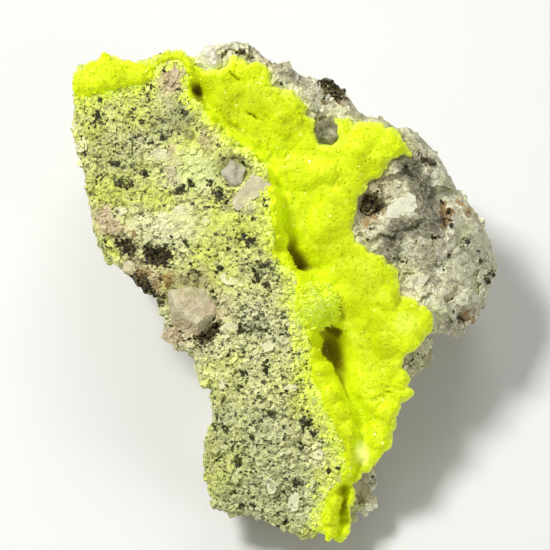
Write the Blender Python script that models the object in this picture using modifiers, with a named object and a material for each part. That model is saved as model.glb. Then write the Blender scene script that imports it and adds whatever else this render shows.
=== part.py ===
"""Autunite specimen: a lump of granite with a bright crust of autunite lining an open seam.

The stone is modelled in its display frame (x to the right, y up the display face, z out of
the face), and an empty leans that frame back so that the stone rests on its broken underside.
The tables give millimetres, and MM turns them into metres.
"""

from itertools import product
from math import cos, radians, sin, tau

import bmesh
import bpy
import numpy as np
from mathutils import Matrix, Vector
from mathutils.geometry import delaunay_2d_cdt

MM = 0.001

# Driving dimensions
LEAN_BACK = radians(25.0)  # how far the display face leans back from facing straight up
REST_HEIGHT = 32.5 * MM  # height of the display frame's origin above the resting plane
BASE_SHIFT = (-2.26 * MM, -4.36 * MM)  # moves the middle of the stone's box over the origin
CRUST_TOP = 0.9 * MM  # how far the crust stands proud of the stone
CRUST_ROOT = 1.5 * MM  # how far the crust reaches into the stone
ROOT_SPREAD = 2.0 * MM  # how much wider than the seam the crust's underside is
FIT_GAP = 0.32 * MM  # clearance between a mineral and the socket that holds it
SHARPEST_GROWTH = 1.6  # most that a corner moves out, in gaps, as a socket is grown
SOCKET_RISE = 3.0 * MM  # how far above the crust its socket clears the stone
BELOW_BASE = 2.5 * MM  # how far the rough stone runs past the resting plane before it is cut
FLOOR_SIZE = 300.0 * MM  # side of the block that cuts the base flat
MATRIX_CELLS = 76  # cells along one edge of the block that the stone is shaped from
MATRIX_KEPT = 0.055  # share of the block's triangles that the stone keeps
CRUST_CELL = 1.65 * MM  # size of the triangles on top of the crust
ROOT_CELL = 2.8 * MM  # size of the triangles on its underside
FILL_INSIDE = 1  # the triangulation's mode that keeps only what lies inside the outline
MERGE = 0.0001 * MM  # points closer than this count as one

# Silhouette of the stone seen square on to its display face, clockwise from the left (mm)
STONE_OUTLINE = (
    (-40.4, 36.6), (-40.6, 40.0), (-39.0, 42.0), (-36.4, 43.0), (-33.8, 44.0), (-31.0, 43.4),
    (-28.6, 42.4), (-25.6, 43.2), (-23.0, 44.4), (-19.0, 45.0), (-16.6, 43.4), (-14.6, 44.6),
    (-13.8, 46.0), (-10.6, 46.2), (-8.0, 46.8), (-5.0, 46.2), (-2.6, 44.2), (-1.0, 42.6),
    (2.0, 42.2), (4.4, 40.6), (7.4, 39.4), (11.0, 39.4), (14.0, 36.8), (16.6, 33.2),
    (18.4, 31.8), (22.0, 31.2), (24.4, 29.6), (27.0, 29.8), (29.4, 28.0), (33.0, 24.2),
    (35.0, 20.8), (37.0, 17.2), (40.0, 13.6), (42.4, 9.6), (44.4, 4.8), (45.4, 0.6),
    (44.0, -2.0), (42.6, -6.0), (40.6, -9.0), (38.0, -11.0), (35.0, -12.0), (30.4, -11.6),
    (29.2, -13.4), (27.4, -14.6), (25.0, -16.2), (24.6, -20.0), (25.6, -23.0), (24.0, -27.0),
    (21.8, -32.0), (21.2, -35.0), (19.0, -38.0), (16.8, -40.2), (14.6, -42.4), (14.2, -47.0),
    (14.2, -50.6), (12.8, -52.0), (10.8, -52.0), (8.6, -51.4), (5.8, -52.4), (3.0, -51.4),
    (0.6, -50.0), (-2.6, -48.6), (-6.0, -48.0), (-11.6, -46.6), (-13.0, -43.0), (-14.4, -37.4),
    (-13.6, -33.0), (-12.4, -29.0), (-12.6, -23.0), (-15.0, -21.0), (-16.4, -15.4), (-20.0, -14.8),
    (-21.8, -11.0), (-22.4, -8.0), (-24.0, -4.6), (-29.0, -0.4), (-34.2, 4.6), (-36.4, 9.8),
    (-36.8, 13.0), (-37.8, 19.4), (-39.6, 25.0), (-40.6, 30.0), (-40.2, 33.4),
)

# Edge of the autunite crust on the display face, clockwise from the cap's lower left (mm)
CRUST_OUTLINE = (
    (-40.8, 35.8), (-40.8, 38.2), (-39.8, 41.0), (-37.4, 42.4), (-35.2, 43.6), (-33.0, 44.0),
    (-31.0, 43.0), (-28.8, 42.0), (-26.6, 41.8), (-24.6, 42.8), (-22.4, 43.8), (-19.8, 44.4),
    (-17.0, 43.6), (-14.8, 43.8), (-12.6, 43.2), (-10.4, 43.8), (-7.8, 43.6), (-2.2, 41.4),
    (-0.8, 39.8), (-0.6, 37.6), (1.8, 37.0), (4.4, 36.0), (6.2, 33.8), (7.2, 31.0),
    (8.4, 28.2), (9.6, 26.6), (11.2, 26.8), (12.0, 28.8), (12.0, 31.4), (14.8, 31.6),
    (15.8, 30.2), (18.2, 30.8), (21.4, 30.2), (24.2, 28.8), (26.0, 26.4), (27.2, 24.0),
    (23.4, 23.6), (22.2, 21.4), (19.4, 18.8), (18.4, 16.8), (16.8, 14.6), (16.0, 11.4),
    (15.6, 9.0), (16.6, 6.6), (19.4, 4.8), (21.2, 3.6), (21.8, 2.0), (24.4, 0.8),
    (24.4, -1.2), (25.2, -3.8), (27.2, -4.8), (30.0, -6.8), (31.6, -8.4), (31.4, -11.4),
    (30.0, -13.6), (27.8, -15.0), (25.8, -15.8), (25.6, -18.2), (27.0, -21.0), (27.4, -23.2),
    (25.8, -25.6), (25.2, -27.8), (23.2, -31.2), (23.0, -34.2), (21.8, -36.2), (19.2, -39.0),
    (16.0, -41.8), (15.6, -44.0), (15.4, -49.0), (15.2, -52.0), (13.2, -53.0), (11.0, -52.8),
    (9.6, -51.0), (9.6, -48.4), (10.4, -45.4), (11.2, -42.6), (13.0, -40.6), (14.0, -38.2),
    (13.2, -35.0), (12.4, -31.8), (10.6, -27.6), (8.6, -23.6), (7.0, -19.4), (6.6, -15.0),
    (6.4, -10.6), (4.8, -7.4), (4.4, -4.2), (3.8, -0.6), (2.2, 1.6), (0.2, 4.0),
    (-0.6, 7.0), (-0.8, 10.6), (-1.2, 13.4), (-0.8, 16.6), (-1.2, 20.0), (-2.6, 23.2),
    (-5.4, 25.4), (-9.0, 27.8), (-12.4, 30.6), (-15.2, 34.0), (-17.6, 36.4), (-17.6, 39.8),
    (-19.0, 42.4), (-21.4, 42.8), (-23.2, 41.6), (-24.6, 39.4), (-27.0, 38.2), (-30.6, 37.4),
    (-34.0, 36.4), (-37.4, 35.4),
)

# The open seam between slab and wall, top to bottom: x, y, depth, half width (mm)
SEAM = (
    (-17.0, 47.0, 0.5, 1.0), (-16.0, 40.6, 1.0, 1.0), (-15.4, 37.2, 4.0, 1.5), (-11.8, 31.0, 2.0, 1.3),
    (-6.4, 25.8, 2.4, 1.3), (-1.4, 22.0, 2.4, 1.2), (0.8, 17.0, 1.6, 1.1), (1.6, 10.0, 3.0, 1.3),
    (3.4, 4.8, 7.5, 2.2), (5.0, 1.2, 7.5, 2.2), (8.2, -5.0, 1.0, 1.2), (9.6, -10.0, 5.5, 1.8),
    (11.8, -16.4, 8.5, 2.7), (13.6, -22.0, 5.5, 1.9), (15.8, -27.6, 3.8, 1.4), (17.2, -31.4, 2.4, 1.2),
    (16.6, -36.6, 0.5, 1.1), (14.2, -43.0, 3.6, 1.3), (13.8, -49.0, 3.6, 1.3), (12.0, -54.0, 0.5, 1.0),
)

# Heights of the slab, left of the seam: x, y, z (mm)
SLAB_HEIGHTS = (
    (-40.0, 38.0, 0.5), (-24.0, 40.0, 2.0), (-38.0, 20.0, 1.0), (-20.0, 22.0, 2.4), (-6.0, 18.0, 3.2),
    (-34.0, 8.0, 0.6), (-14.0, 4.0, 2.4), (0.0, 0.0, 3.4), (-20.0, -8.0, 0.0), (-6.0, -14.0, 2.6),
    (5.0, -16.0, 3.2), (-12.0, -30.0, 1.2), (4.0, -32.0, 2.8), (-10.0, -44.0, 0.4), (4.0, -48.0, 1.4),
)

# Heights of the wall and of the quartz shoulder, right of the seam: x, y, z (mm)
WALL_HEIGHTS = (
    (-13.0, 36.0, -0.6), (-12.0, 43.5, 0.8), (-4.0, 43.0, 0.2), (-5.0, 31.0, -1.4), (0.0, 37.0, 0.6),
    (5.0, 38.5, -1.2), (3.0, 24.0, -2.2), (6.0, 31.0, 0.4), (11.0, 36.0, -1.0), (10.5, 28.5, -0.4),
    (11.0, 20.0, 0.2), (16.5, 31.5, -1.4), (20.0, 26.0, 1.6), (24.5, 25.5, 0.8), (28.0, 28.0, -3.0),
    (5.0, 13.0, -2.6), (12.0, 10.0, -0.8), (16.5, 16.0, 1.2), (20.0, 13.5, -2.8), (26.0, 15.0, 1.6),
    (33.0, 19.0, -2.4), (8.0, 5.0, -3.2), (15.0, 1.0, 0.0), (15.5, 8.0, 1.0), (22.0, 7.5, -0.6),
    (30.0, 7.0, 2.0), (38.0, 8.0, -2.0), (11.0, -3.0, -3.0), (20.0, -3.0, 1.2), (26.5, 0.5, -2.8),
    (34.0, -2.0, -0.6), (42.0, -1.0, -6.0), (36.0, -8.0, -4.5), (14.0, -11.0, -3.2), (24.0, -10.0, 2.0),
    (30.0, -9.0, 1.4), (17.0, -18.0, -2.8), (23.0, -19.0, 1.0), (19.0, -27.0, -1.6), (24.0, -26.0, 0.6),
    (20.5, -34.0, 0.8), (17.0, -40.0, -0.8), (13.0, -52.0, -2.0),
)
SLAB_REACH = 10.0 * MM
WALL_REACH = 3.6 * MM

# Radius that rounds the stone's edge over, by bearing from the centre (degrees, mm)
EDGE_RADIUS = (
    (-180, 1.6), (-150, 2.2), (-110, 1.6), (-80, 1.6), (-65, 1.2), (-25, 1.2), (-12, 4.5), (0, 8.0),
    (30, 6.5), (60, 3.0), (90, 2.6), (110, 2.2), (132, 3.4), (150, 1.6),
)
# Stone that stands out beyond the edge, deep below the crust, by bearing (degrees, mm)
LEDGE_REACH = (
    (-180, 0.0), (-76, 0.0), (-73, 3.0), (-69, 7.5), (-64, 7.0), (-61, 2.5), (-55, 2.0), (-46, 1.8),
    (-41, 4.5), (-36, 7.0), (-30, 7.5), (-24, 5.0), (-18, 0.0),
)
LEDGE_DEPTH = 8.0 * MM
LEDGE_SPREAD = 3.5 * MM

# How far the sides draw in from the display face to the base, as a share of the radius
SIDE_TAPER = 0.13
TAPER_CURVE = 1.6  # power of the way down by which the sides draw in
FOOT_TUCK = 0.07
FOOT_START = 0.72  # share of the way down where the foot starts to tuck in
FOOT_END = 0.97  # share of the way down where the side's breaks have faded out
BRIM = 0.08  # share of the way down over which the side's breaks grow from the edge

# Broken surfaces: cell size and depth of the fracture facets (mm), and their random seed
SLAB_BREAK = (4.2, 0.35, 11)
WALL_BREAK = (5.2, 1.5, 23)
SIDE_BREAKS = ((13.0, 3.2, 40), (5.0, 1.0, 50))

# Rounded lumps that stand on the crust: x, y, radius, height (mm)
CRUST_LUMPS = (
    (8.4, -5.0, 3.7, 3.2), (11.4, -23.4, 1.9, 1.2), (13.4, -27.0, 2.0, 1.2), (14.8, -31.2, 2.0, 1.0),
    (22.4, -27.8, 2.3, 1.4), (20.2, -31.8, 2.9, 1.6), (22.0, -14.0, 2.8, 1.0), (24.6, -19.2, 2.3, 1.0),
    (12.5, -45.6, 1.8, 1.6), (29.0, -9.6, 2.4, 0.9), (22.6, -4.6, 2.6, 0.9), (23.6, 26.4, 2.4, 0.8),
    (-38.2, 39.0, 2.6, 0.6), (-20.0, 42.6, 1.8, 0.5), (-9.0, 38.0, 3.2, 0.7), (2.2, 31.0, 3.4, 0.7),
)
LUMP_CELL = 3.0 * MM
LUMP_SEED = 71
LUMP_RISE = 0.55 * MM
CRUST_ROUNDING = 1.5 * MM  # distance over which the crust's rim rounds down to the stone

# Grains set in the stone: centre x, y, z, half sizes, turn in the face, corners (mm, degrees)
QUARTZ_NODULE = ((-16.6, -6.8, -1.6), (5.9, 5.8, 4.6), 20.0, 48)
SMOKY_QUARTZ = ((9.9, 28.4, -0.4), (2.4, 2.6, 2.3), 15.0, 18)
GREY_QUARTZ = ((-8.4, 20.4, 1.6), (2.9, 2.5, 1.9), -25.0, 16)
WHITE_QUARTZ = ((-12.7, 43.4, -0.8), (2.4, 2.8, 3.0), 0.0, 14)
GRAIN_SEEDS = range(101, 141, 10)
GOLDEN_TURN = 2.39996  # turn of a spiral that spreads points evenly over a ball (radians)
GRAIN_SHAKE = 0.55  # how far a grain's corners stray from the even spread, in its radius

# The feldspar lath: centre x, y, z, half sizes, turn in the face (mm, degrees)
FELDSPAR_LATH = ((-5.8, 15.9, 2.2), (4.4, 1.3, 1.3), 42.0)


def lattice(points, seed):
    """A repeatable random number from 0 to 1 for each whole-number lattice point."""
    whole = points.astype(np.int64)
    mixed = whole[..., 0] * 374761393 + whole[..., 1] * 668265263 + whole[..., 2] * 2147483629
    mixed = (mixed + seed * 1274126177) & 0xFFFFFFFF
    mixed = ((mixed ^ (mixed >> 13)) * 1103515245) & 0xFFFFFFFF
    return ((mixed ^ (mixed >> 16)) & 0xFFFF) / 65535.0


def scattered_cells(points, cell, seed):
    """For each point, its nearest scattered centre: offset from it, distance, and lattice home."""
    scaled = points / cell
    corner = np.floor(scaled)
    nearest = np.full(len(points), np.inf)
    offsets = np.zeros(points.shape)
    homes = np.zeros(points.shape)
    for step in product((-1, 0, 1), repeat=3):
        home = corner + step
        centre = home + np.stack([lattice(home, seed + axis) for axis in range(3)], axis=-1)
        offset = scaled - centre
        squared = (offset**2).sum(axis=-1)
        closer = squared < nearest
        nearest = np.where(closer, squared, nearest)
        offsets = np.where(closer[:, None], offset, offsets)
        homes = np.where(closer[:, None], home, homes)
    return offsets, np.sqrt(nearest), homes


def facets(points, cell, seed):
    """Fracture relief from about -1 to 1: each cell is a plane with a tilt of its own."""
    offsets, _, homes = scattered_cells(points, cell, seed)
    tilts = np.stack([lattice(homes, seed + 3 + axis) for axis in range(3)], axis=-1) * 2.0 - 1.0
    return (offsets * tilts).sum(axis=-1) + lattice(homes, seed + 6) - 0.5


def domes(points, cell, seed):
    """Botryoidal relief from 0 to 1: each cell is a round dome, with creases in between."""
    _, distance, _ = scattered_cells(points, cell, seed)
    return np.sqrt(np.clip(1.0 - distance**2, 0.0, 1.0))


def smooth_step(low, high, value):
    """0 below low, 1 above high, and an S curve in between."""
    share = np.clip((value - low) / (high - low), 0.0, 1.0)
    return share * share * (3.0 - 2.0 * share)


def by_bearing(table, bearing):
    """Reads a table of (degrees, mm) at these bearings, in metres."""
    degrees, size = np.array(table).T
    return np.interp(np.degrees(bearing), degrees, size, period=360.0) * MM


def outline_radius(bearing):
    """Distance from the centre to the stone's silhouette at each bearing."""
    corners = np.array(STONE_OUTLINE) * MM
    corner_bearing = np.arctan2(corners[:, 1], corners[:, 0])
    return np.interp(bearing, corner_bearing, np.hypot(*corners.T), period=tau)


def outline_distance(x, y, outline):
    """Signed distance to a closed outline, positive inside."""
    corners = np.array(outline) * MM
    nearest = np.full(len(x), np.inf)
    inside = np.zeros(len(x), dtype=bool)
    for start, end in zip(corners, np.roll(corners, -1, axis=0)):
        run = end - start
        along = np.clip(((x - start[0]) * run[0] + (y - start[1]) * run[1]) / run.dot(run), 0.0, 1.0)
        gap = np.hypot(x - start[0] - along * run[0], y - start[1] - along * run[1])
        nearest = np.minimum(nearest, gap)
        crosses = (start[1] > y) != (end[1] > y)
        rise = np.where(run[1] == 0.0, 1.0, run[1])
        inside ^= crosses & (x < start[0] + (y - start[1]) * run[0] / rise)
    return np.where(inside, nearest, -nearest)


def mean_height(stations, x, y, reach):
    """Height at x, y: the mean of the stations' heights, weighted by closeness."""
    weight_sum = np.zeros(len(x))
    height_sum = np.zeros(len(x))
    for station_x, station_y, height in np.array(stations) * MM:
        squared = (x - station_x) ** 2 + (y - station_y) ** 2
        weight = np.exp(-squared / (2.0 * reach**2)) + 1e-12 / (squared + reach**2)
        weight_sum += weight
        height_sum += weight * height
    return height_sum / weight_sum


def seam_offset(x, y):
    """Distance right of the seam's path, and the seam's depth and half width there."""
    path = np.array(SEAM[::-1]) * MM
    path_x, depth, half_width = (np.interp(y, path[:, 1], path[:, k]) for k in (0, 2, 3))
    slope = np.interp(y, path[:, 1], np.gradient(path[:, 0], path[:, 1]))
    return (x - path_x) / np.hypot(1.0, slope), depth, half_width


def face_height(x, y, widen=0.0):
    """Height of the display face: slab and wall, with the seam cut between them."""
    offset, depth, half_width = seam_offset(x, y)
    width = half_width + widen
    wall_share = smooth_step(-width, width, offset)
    slab = mean_height(SLAB_HEIGHTS, x, y, SLAB_REACH)
    wall = mean_height(WALL_HEIGHTS, x, y, WALL_REACH)
    return slab + (wall - slab) * wall_share - depth * np.exp(-((offset / width) ** 2))


def face_breaks(x, y):
    """Fracture relief of the bare stone, fading out below the crust."""
    points = np.stack([x, y, np.zeros(len(x))], axis=-1)
    offset, _, _ = seam_offset(x, y)
    slab, wall = (
        facets(points, cell * MM, seed) * depth * MM for cell, depth, seed in (SLAB_BREAK, WALL_BREAK)
    )
    bare = smooth_step(0.0, CRUST_ROUNDING, -outline_distance(x, y, CRUST_OUTLINE))
    return np.where(offset < 0.0, slab, wall) * bare


def resting_plane(y):
    """Height in the display frame of the plane that the stone rests on."""
    return -(REST_HEIGHT + y * sin(LEAN_BACK)) / cos(LEAN_BACK)


def square_to_polar(a, b):
    """Turns a point of the square from -1 to 1 into a share of the radius and a bearing."""
    share = np.maximum(np.abs(a), np.abs(b))
    sideways = np.abs(a) == share
    start = np.where(sideways, np.where(a < 0.0, tau / 2, 0.0), np.copysign(tau / 4, b))
    main = np.where(sideways, a, b)
    cross = np.where(sideways, b, -a)
    ratio = np.divide(cross, main, out=np.zeros(len(a)), where=main != 0.0)
    return share, start + ratio * tau / 8


def side_radius(bearing, depth_share, depth):
    """Radius of the stone's side at a bearing, a share of the way down and a depth."""
    drawn_in = SIDE_TAPER * depth_share**TAPER_CURVE + FOOT_TUCK * smooth_step(FOOT_START, 1.0, depth_share)
    ledge = by_bearing(LEDGE_REACH, bearing) * np.exp(-(((depth - LEDGE_DEPTH) / LEDGE_SPREAD) ** 2))
    return outline_radius(bearing) * (1.0 - drawn_in) + ledge


def side_breaks(points, depth_share):
    """How far the broken side lies inside the stone's full radius."""
    fade = smooth_step(0.0, BRIM, depth_share) - smooth_step(FOOT_START, FOOT_END, depth_share)
    relief = np.zeros(len(points))
    for cell, depth, seed in SIDE_BREAKS:
        inward = (1.0 - np.clip(facets(points, cell * MM, seed), -1.0, 1.0)) / 2.0
        relief += inward * depth * MM
    return relief * fade


def polar_points(radius, bearing, height):
    """Positions from their polar coordinates about the display frame's z axis."""
    return np.stack([radius * np.cos(bearing), radius * np.sin(bearing), height], axis=-1)


def shape_stone(block):
    """Places the points of a block from -1 to 1 on the surface of the rough stone."""
    share, bearing = square_to_polar(block[:, 0], block[:, 1])
    depth_share = (1.0 - block[:, 2]) / 2.0
    rim = outline_radius(bearing)
    face_x, face_y, _ = polar_points(share * rim, bearing, rim).T
    face = face_height(face_x, face_y) + face_breaks(face_x, face_y)
    edge = by_bearing(EDGE_RADIUS, bearing)
    inset = np.clip(1.0 - (1.0 - share) * rim / edge, 0.0, 1.0)
    face -= edge * (1.0 - np.sqrt(1.0 - inset**2))
    foot = share * rim * (1.0 - SIDE_TAPER - FOOT_TUCK)
    floor = resting_plane(foot * np.sin(bearing)) - BELOW_BASE
    height = face + (floor - face) * depth_share
    radius = side_radius(bearing, depth_share, face - height)
    radius -= side_breaks(polar_points(radius, bearing, height), depth_share)
    return polar_points(share * radius, bearing, height)


def shape_crust(plate, raised=0.0):
    """Places the points of a flat plate on the crust, with its top raised this much higher."""
    x, y = plate[:, 0], plate[:, 1]
    points = np.stack([x, y, np.zeros(len(x))], axis=-1)
    face = face_height(x, y)
    rim_inset = 1.0 - np.clip(outline_distance(x, y, CRUST_OUTLINE) / CRUST_ROUNDING, 0.0, 1.0)
    rounded = np.sqrt(1.0 - rim_inset**2)
    top = face + (CRUST_TOP + LUMP_RISE * domes(points, LUMP_CELL, LUMP_SEED)) * rounded
    for lump_x, lump_y, radius, rise in np.array(CRUST_LUMPS) * MM:
        squared = ((x - lump_x) ** 2 + (y - lump_y) ** 2) / radius**2
        top += rise * np.sqrt(np.clip(1.0 - squared, 0.0, 1.0)) * rounded
    underside = np.minimum(face, face_height(x, y, widen=ROOT_SPREAD)) - CRUST_ROOT
    return np.stack([x, y, np.where(plate[:, 2] > 0.0, top + raised, underside)], axis=-1)


def clear_scene():
    """Removes every object that the scene starts with."""
    for old in list(bpy.data.objects):
        bpy.data.objects.remove(old)


def new_collection(name):
    """Adds a collection to the scene."""
    collection = bpy.data.collections.new(name)
    bpy.context.scene.collection.children.link(collection)
    return collection


def new_material(name, colour, roughness, transmission=0.0):
    """A Principled material of one colour."""
    material = bpy.data.materials.new(name)
    material.use_nodes = True
    surface = material.node_tree.nodes["Principled BSDF"]
    surface.inputs["Base Color"].default_value = (*colour, 1.0)
    surface.inputs["Roughness"].default_value = roughness
    surface.inputs["Metallic"].default_value = 0.0
    surface.inputs["Transmission Weight"].default_value = transmission
    return material


def add_object(name, shape, collection, parent=None, material=None):
    """Turns a bmesh into a named object."""
    mesh = bpy.data.meshes.new(name)
    shape.to_mesh(mesh)
    shape.free()
    thing = bpy.data.objects.new(name, mesh)
    collection.objects.link(thing)
    thing.parent = parent
    if material is not None:
        mesh.materials.append(material)
    return thing


def place_points(shape, formula):
    """Moves every vertex of a bmesh to where a formula on all of their positions puts it."""
    vertices = list(shape.verts)
    placed = formula(np.array([vertex.co[:] for vertex in vertices]))
    for vertex, position in zip(vertices, placed):
        vertex.co = position
    shape.normal_update()


def thin_out(thing, kept):
    """Leaves this share of an object's triangles."""
    modifier = thing.modifiers.new("Thin out", "DECIMATE")
    modifier.ratio = kept
    modifier.use_collapse_triangulate = True


def cut(thing, cutter):
    """Cuts one object out of another."""
    modifier = thing.modifiers.new("Cut " + cutter.name, "BOOLEAN")
    modifier.operation = "DIFFERENCE"
    modifier.solver = "EXACT"
    modifier.object = cutter


def mark_as_cutter(thing):
    """Shows an object as a wire guide that is left out of renders."""
    thing.display_type = "WIRE"
    thing.hide_render = True


def grow(shape, gap):
    """Moves every face of a bmesh out by a gap."""
    shape.normal_update()
    growths = [gap * min(vertex.calc_shell_factor(), SHARPEST_GROWTH) for vertex in shape.verts]
    normals = [vertex.normal.copy() for vertex in shape.verts]
    for vertex, normal, growth in zip(shape.verts, normals, growths):
        vertex.co += normal * growth


def crystal_socket(crystal, cutters):
    """A cutter the shape of a crystal, with the fit's gap on every side."""
    bpy.context.view_layer.update()
    finished = crystal.evaluated_get(bpy.context.evaluated_depsgraph_get())
    shape = bmesh.new()
    shape.from_mesh(finished.to_mesh())
    finished.to_mesh_clear()
    grow(shape, FIT_GAP)
    socket = add_object(crystal.name + "_socket", shape, cutters, crystal.parent)
    socket.matrix_local = crystal.matrix_local
    mark_as_cutter(socket)
    return socket


def crust_socket(cutters, frame):
    """A cutter the shape of the crust with the fit's gap, which also clears what lies above."""
    shape = crust_plate()
    place_points(shape, lambda plate: shape_crust(plate, SOCKET_RISE))
    grow(shape, FIT_GAP)
    socket = add_object("autunite_crust_socket", shape, cutters, frame)
    mark_as_cutter(socket)
    return socket


def build_matrix(parts, frame):
    """The stone: a block of cells, shaped, then thinned to its main facets."""
    shape = bmesh.new()
    bmesh.ops.create_cube(shape, size=2.0)
    bmesh.ops.subdivide_edges(shape, edges=shape.edges, cuts=MATRIX_CELLS - 1, use_grid_fill=True)
    place_points(shape, shape_stone)
    material = new_material("granite", (0.62, 0.63, 0.36), 0.85)
    matrix = add_object("granite_matrix", shape, parts, frame, material)
    thin_out(matrix, MATRIX_KEPT)
    return matrix


def rim_points():
    """The crust's outline, with points added so that no stretch is longer than a cell."""
    corners = [Vector(corner) * MM for corner in CRUST_OUTLINE]
    points = []
    for start, end in zip(corners, corners[1:] + corners[:1]):
        steps = max(1, round((end - start).length / CRUST_CELL))
        points.extend(start.lerp(end, step / steps) for step in range(steps))
    return points


def inner_points(cell):
    """Points along the seam and on a staggered grid, inside the crust's outline."""
    low, high = np.array(CRUST_OUTLINE).min(0) * MM, np.array(CRUST_OUTLINE).max(0) * MM
    path = np.array(SEAM[::-1]) * MM
    seam_y = np.arange(low[1], high[1], cell)
    seam = np.stack([np.interp(seam_y, path[:, 1], path[:, 0]), seam_y], axis=-1)
    rows, columns = np.mgrid[low[1] : high[1] : cell * sin(tau / 6), low[0] : high[0] : cell]
    staggered = np.arange(len(rows)) % 2 * cell / 2
    grid = np.stack([(columns + staggered[:, None]).ravel(), rows.ravel()], axis=-1)
    offset, _, _ = seam_offset(*grid.T)
    grid = grid[np.abs(offset) > cell / 2]
    points = np.concatenate([seam, grid])
    return [Vector(point) for point in points[outline_distance(*points.T, CRUST_OUTLINE) > cell / 2]]


def add_sheet(shape, cell, height, facing_up):
    """Fills the crust's outline with triangles of one cell size, and returns its rim in order."""
    rim = rim_points()
    points = rim + inner_points(cell)
    outline = [list(range(len(rim)))]
    placed, _, triangles, sources, _, _ = delaunay_2d_cdt(points, [], outline, FILL_INSIDE, MERGE)
    corners = [shape.verts.new((*point, height)) for point in placed]
    for triangle in triangles:
        order = triangle if facing_up else reversed(triangle)
        shape.faces.new([corners[index] for index in order])
    places = {min(source): corner for source, corner in zip(sources, corners)}
    return [places[index] for index in range(len(rim))]


def crust_plate():
    """A flat plate of the crust's outline: a fine top sheet, a coarse underside and a rim."""
    shape = bmesh.new()
    top = add_sheet(shape, CRUST_CELL, CRUST_ROOT, facing_up=True)
    underside = add_sheet(shape, ROOT_CELL, -CRUST_ROOT, facing_up=False)
    rings = list(zip(top, underside))
    for (top_a, low_a), (top_b, low_b) in zip(rings, rings[1:] + rings[:1]):
        shape.faces.new((top_a, top_b, low_b, low_a))
    bmesh.ops.triangulate(shape, faces=[face for face in shape.faces if len(face.verts) == 4])
    bmesh.ops.recalc_face_normals(shape, faces=shape.faces)
    return shape


def build_crust(parts, frame):
    """The crust: its plate, laid over the face and into the seam."""
    shape = crust_plate()
    place_points(shape, shape_crust)
    material = new_material("autunite", (0.75, 0.95, 0.02), 0.55)
    return add_object("autunite_crust", shape, parts, frame, material)


def crystal_matrix(centre, turn):
    """Where a crystal sits in the display frame."""
    return Matrix.Translation(Vector(centre) * MM) @ Matrix.Rotation(radians(turn), 4, "Z")


def ball_points(count, seed):
    """Points spread over a ball of radius 1 along a spiral, each shaken out of line."""
    index = np.arange(count)
    height = 1.0 - (2.0 * index + 1.0) / count
    turn = index * GOLDEN_TURN
    ring = np.sqrt(1.0 - height**2)
    points = np.stack([ring * np.cos(turn), ring * np.sin(turn), height], axis=-1)
    homes = np.stack([index, index, index], axis=-1)
    shake = np.stack([lattice(homes, seed + axis) for axis in range(3)], axis=-1) - 0.5
    points += shake * GRAIN_SHAKE
    return points / np.linalg.norm(points, axis=-1, keepdims=True)


def build_grain(name, grain, seed, material, parts, frame):
    """A quartz grain: the flat-faced hull of points spread over a ball."""
    centre, half_sizes, turn, corner_count = grain
    shape = bmesh.new()
    for point in ball_points(corner_count, seed):
        shape.verts.new(point)
    bmesh.ops.convex_hull(shape, input=shape.verts)
    bmesh.ops.scale(shape, verts=shape.verts, vec=Vector(half_sizes) * MM)
    thing = add_object(name, shape, parts, frame, material)
    thing.matrix_local = crystal_matrix(centre, turn)
    return thing


def build_lath(parts, frame):
    """The feldspar lath: a long box with cleaved, bevelled edges."""
    centre, half_sizes, turn = FELDSPAR_LATH
    shape = bmesh.new()
    bmesh.ops.create_cube(shape, size=2.0)
    bmesh.ops.scale(shape, verts=shape.verts, vec=Vector(half_sizes) * MM)
    lath = add_object("feldspar_lath", shape, parts, frame, new_material("feldspar", (0.8, 0.78, 0.6), 0.4))
    lath.matrix_local = crystal_matrix(centre, turn)
    bevel = lath.modifiers.new("Cleaved edges", "BEVEL")
    bevel.width = half_sizes[2] * MM / 3
    bevel.segments = 2
    return lath


def build_crystals(parts, frame):
    """The separate crystals that sit in sockets in the stone."""
    grains = (
        ("quartz_nodule", QUARTZ_NODULE, (0.80, 0.82, 0.72), 0.15),
        ("smoky_quartz", SMOKY_QUARTZ, (0.32, 0.28, 0.22), 0.15),
        ("grey_quartz", GREY_QUARTZ, (0.42, 0.44, 0.38), 0.2),
        ("white_quartz", WHITE_QUARTZ, (0.88, 0.88, 0.80), 0.25),
    )
    crystals = [build_lath(parts, frame)]
    for seed, (name, grain, colour, roughness) in zip(GRAIN_SEEDS, grains):
        material = new_material(name, colour, roughness, transmission=0.4)
        crystals.append(build_grain(name, grain, seed, material, parts, frame))
    return crystals


def build_floor(cutters):
    """A block whose top is the plane that the stone rests on."""
    shape = bmesh.new()
    bmesh.ops.create_cube(shape, size=FLOOR_SIZE)
    floor = add_object("floor_cutter", shape, cutters)
    floor.location.z = -FLOOR_SIZE / 2
    mark_as_cutter(floor)
    return floor


def build_specimen():
    """Builds the crystals, the crust and the stone, and cuts their sockets."""
    parts = new_collection("Autunite specimen")
    cutters = new_collection("Cutters")
    frame = bpy.data.objects.new("display_frame", None)
    parts.objects.link(frame)
    frame.location = (*BASE_SHIFT, REST_HEIGHT)
    frame.rotation_euler.x = LEAN_BACK
    crystals = build_crystals(parts, frame)
    crust = build_crust(parts, frame)
    matrix = build_matrix(parts, frame)
    sockets = [crystal_socket(crystal, cutters) for crystal in crystals]
    cut(matrix, crust_socket(cutters, frame))
    for socket in sockets:
        cut(crust, socket)
        cut(matrix, socket)
    cut(matrix, build_floor(cutters))


clear_scene()
build_specimen()
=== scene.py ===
"""Dresses the autunite specimen: its stone, the crust, the crystals and the studio round it.

Every surface is worked out in the display frame, in which x runs to the right, y up the
display face and z out of it. The display frame is then leaned back into the frame that the
solids stand in. The tables give millimetres, and MM turns them into metres.
"""

import logging
from dataclasses import dataclass
from enum import Enum
from itertools import product
from math import cos, radians, sin, tau
from typing import Callable, Sequence

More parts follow.
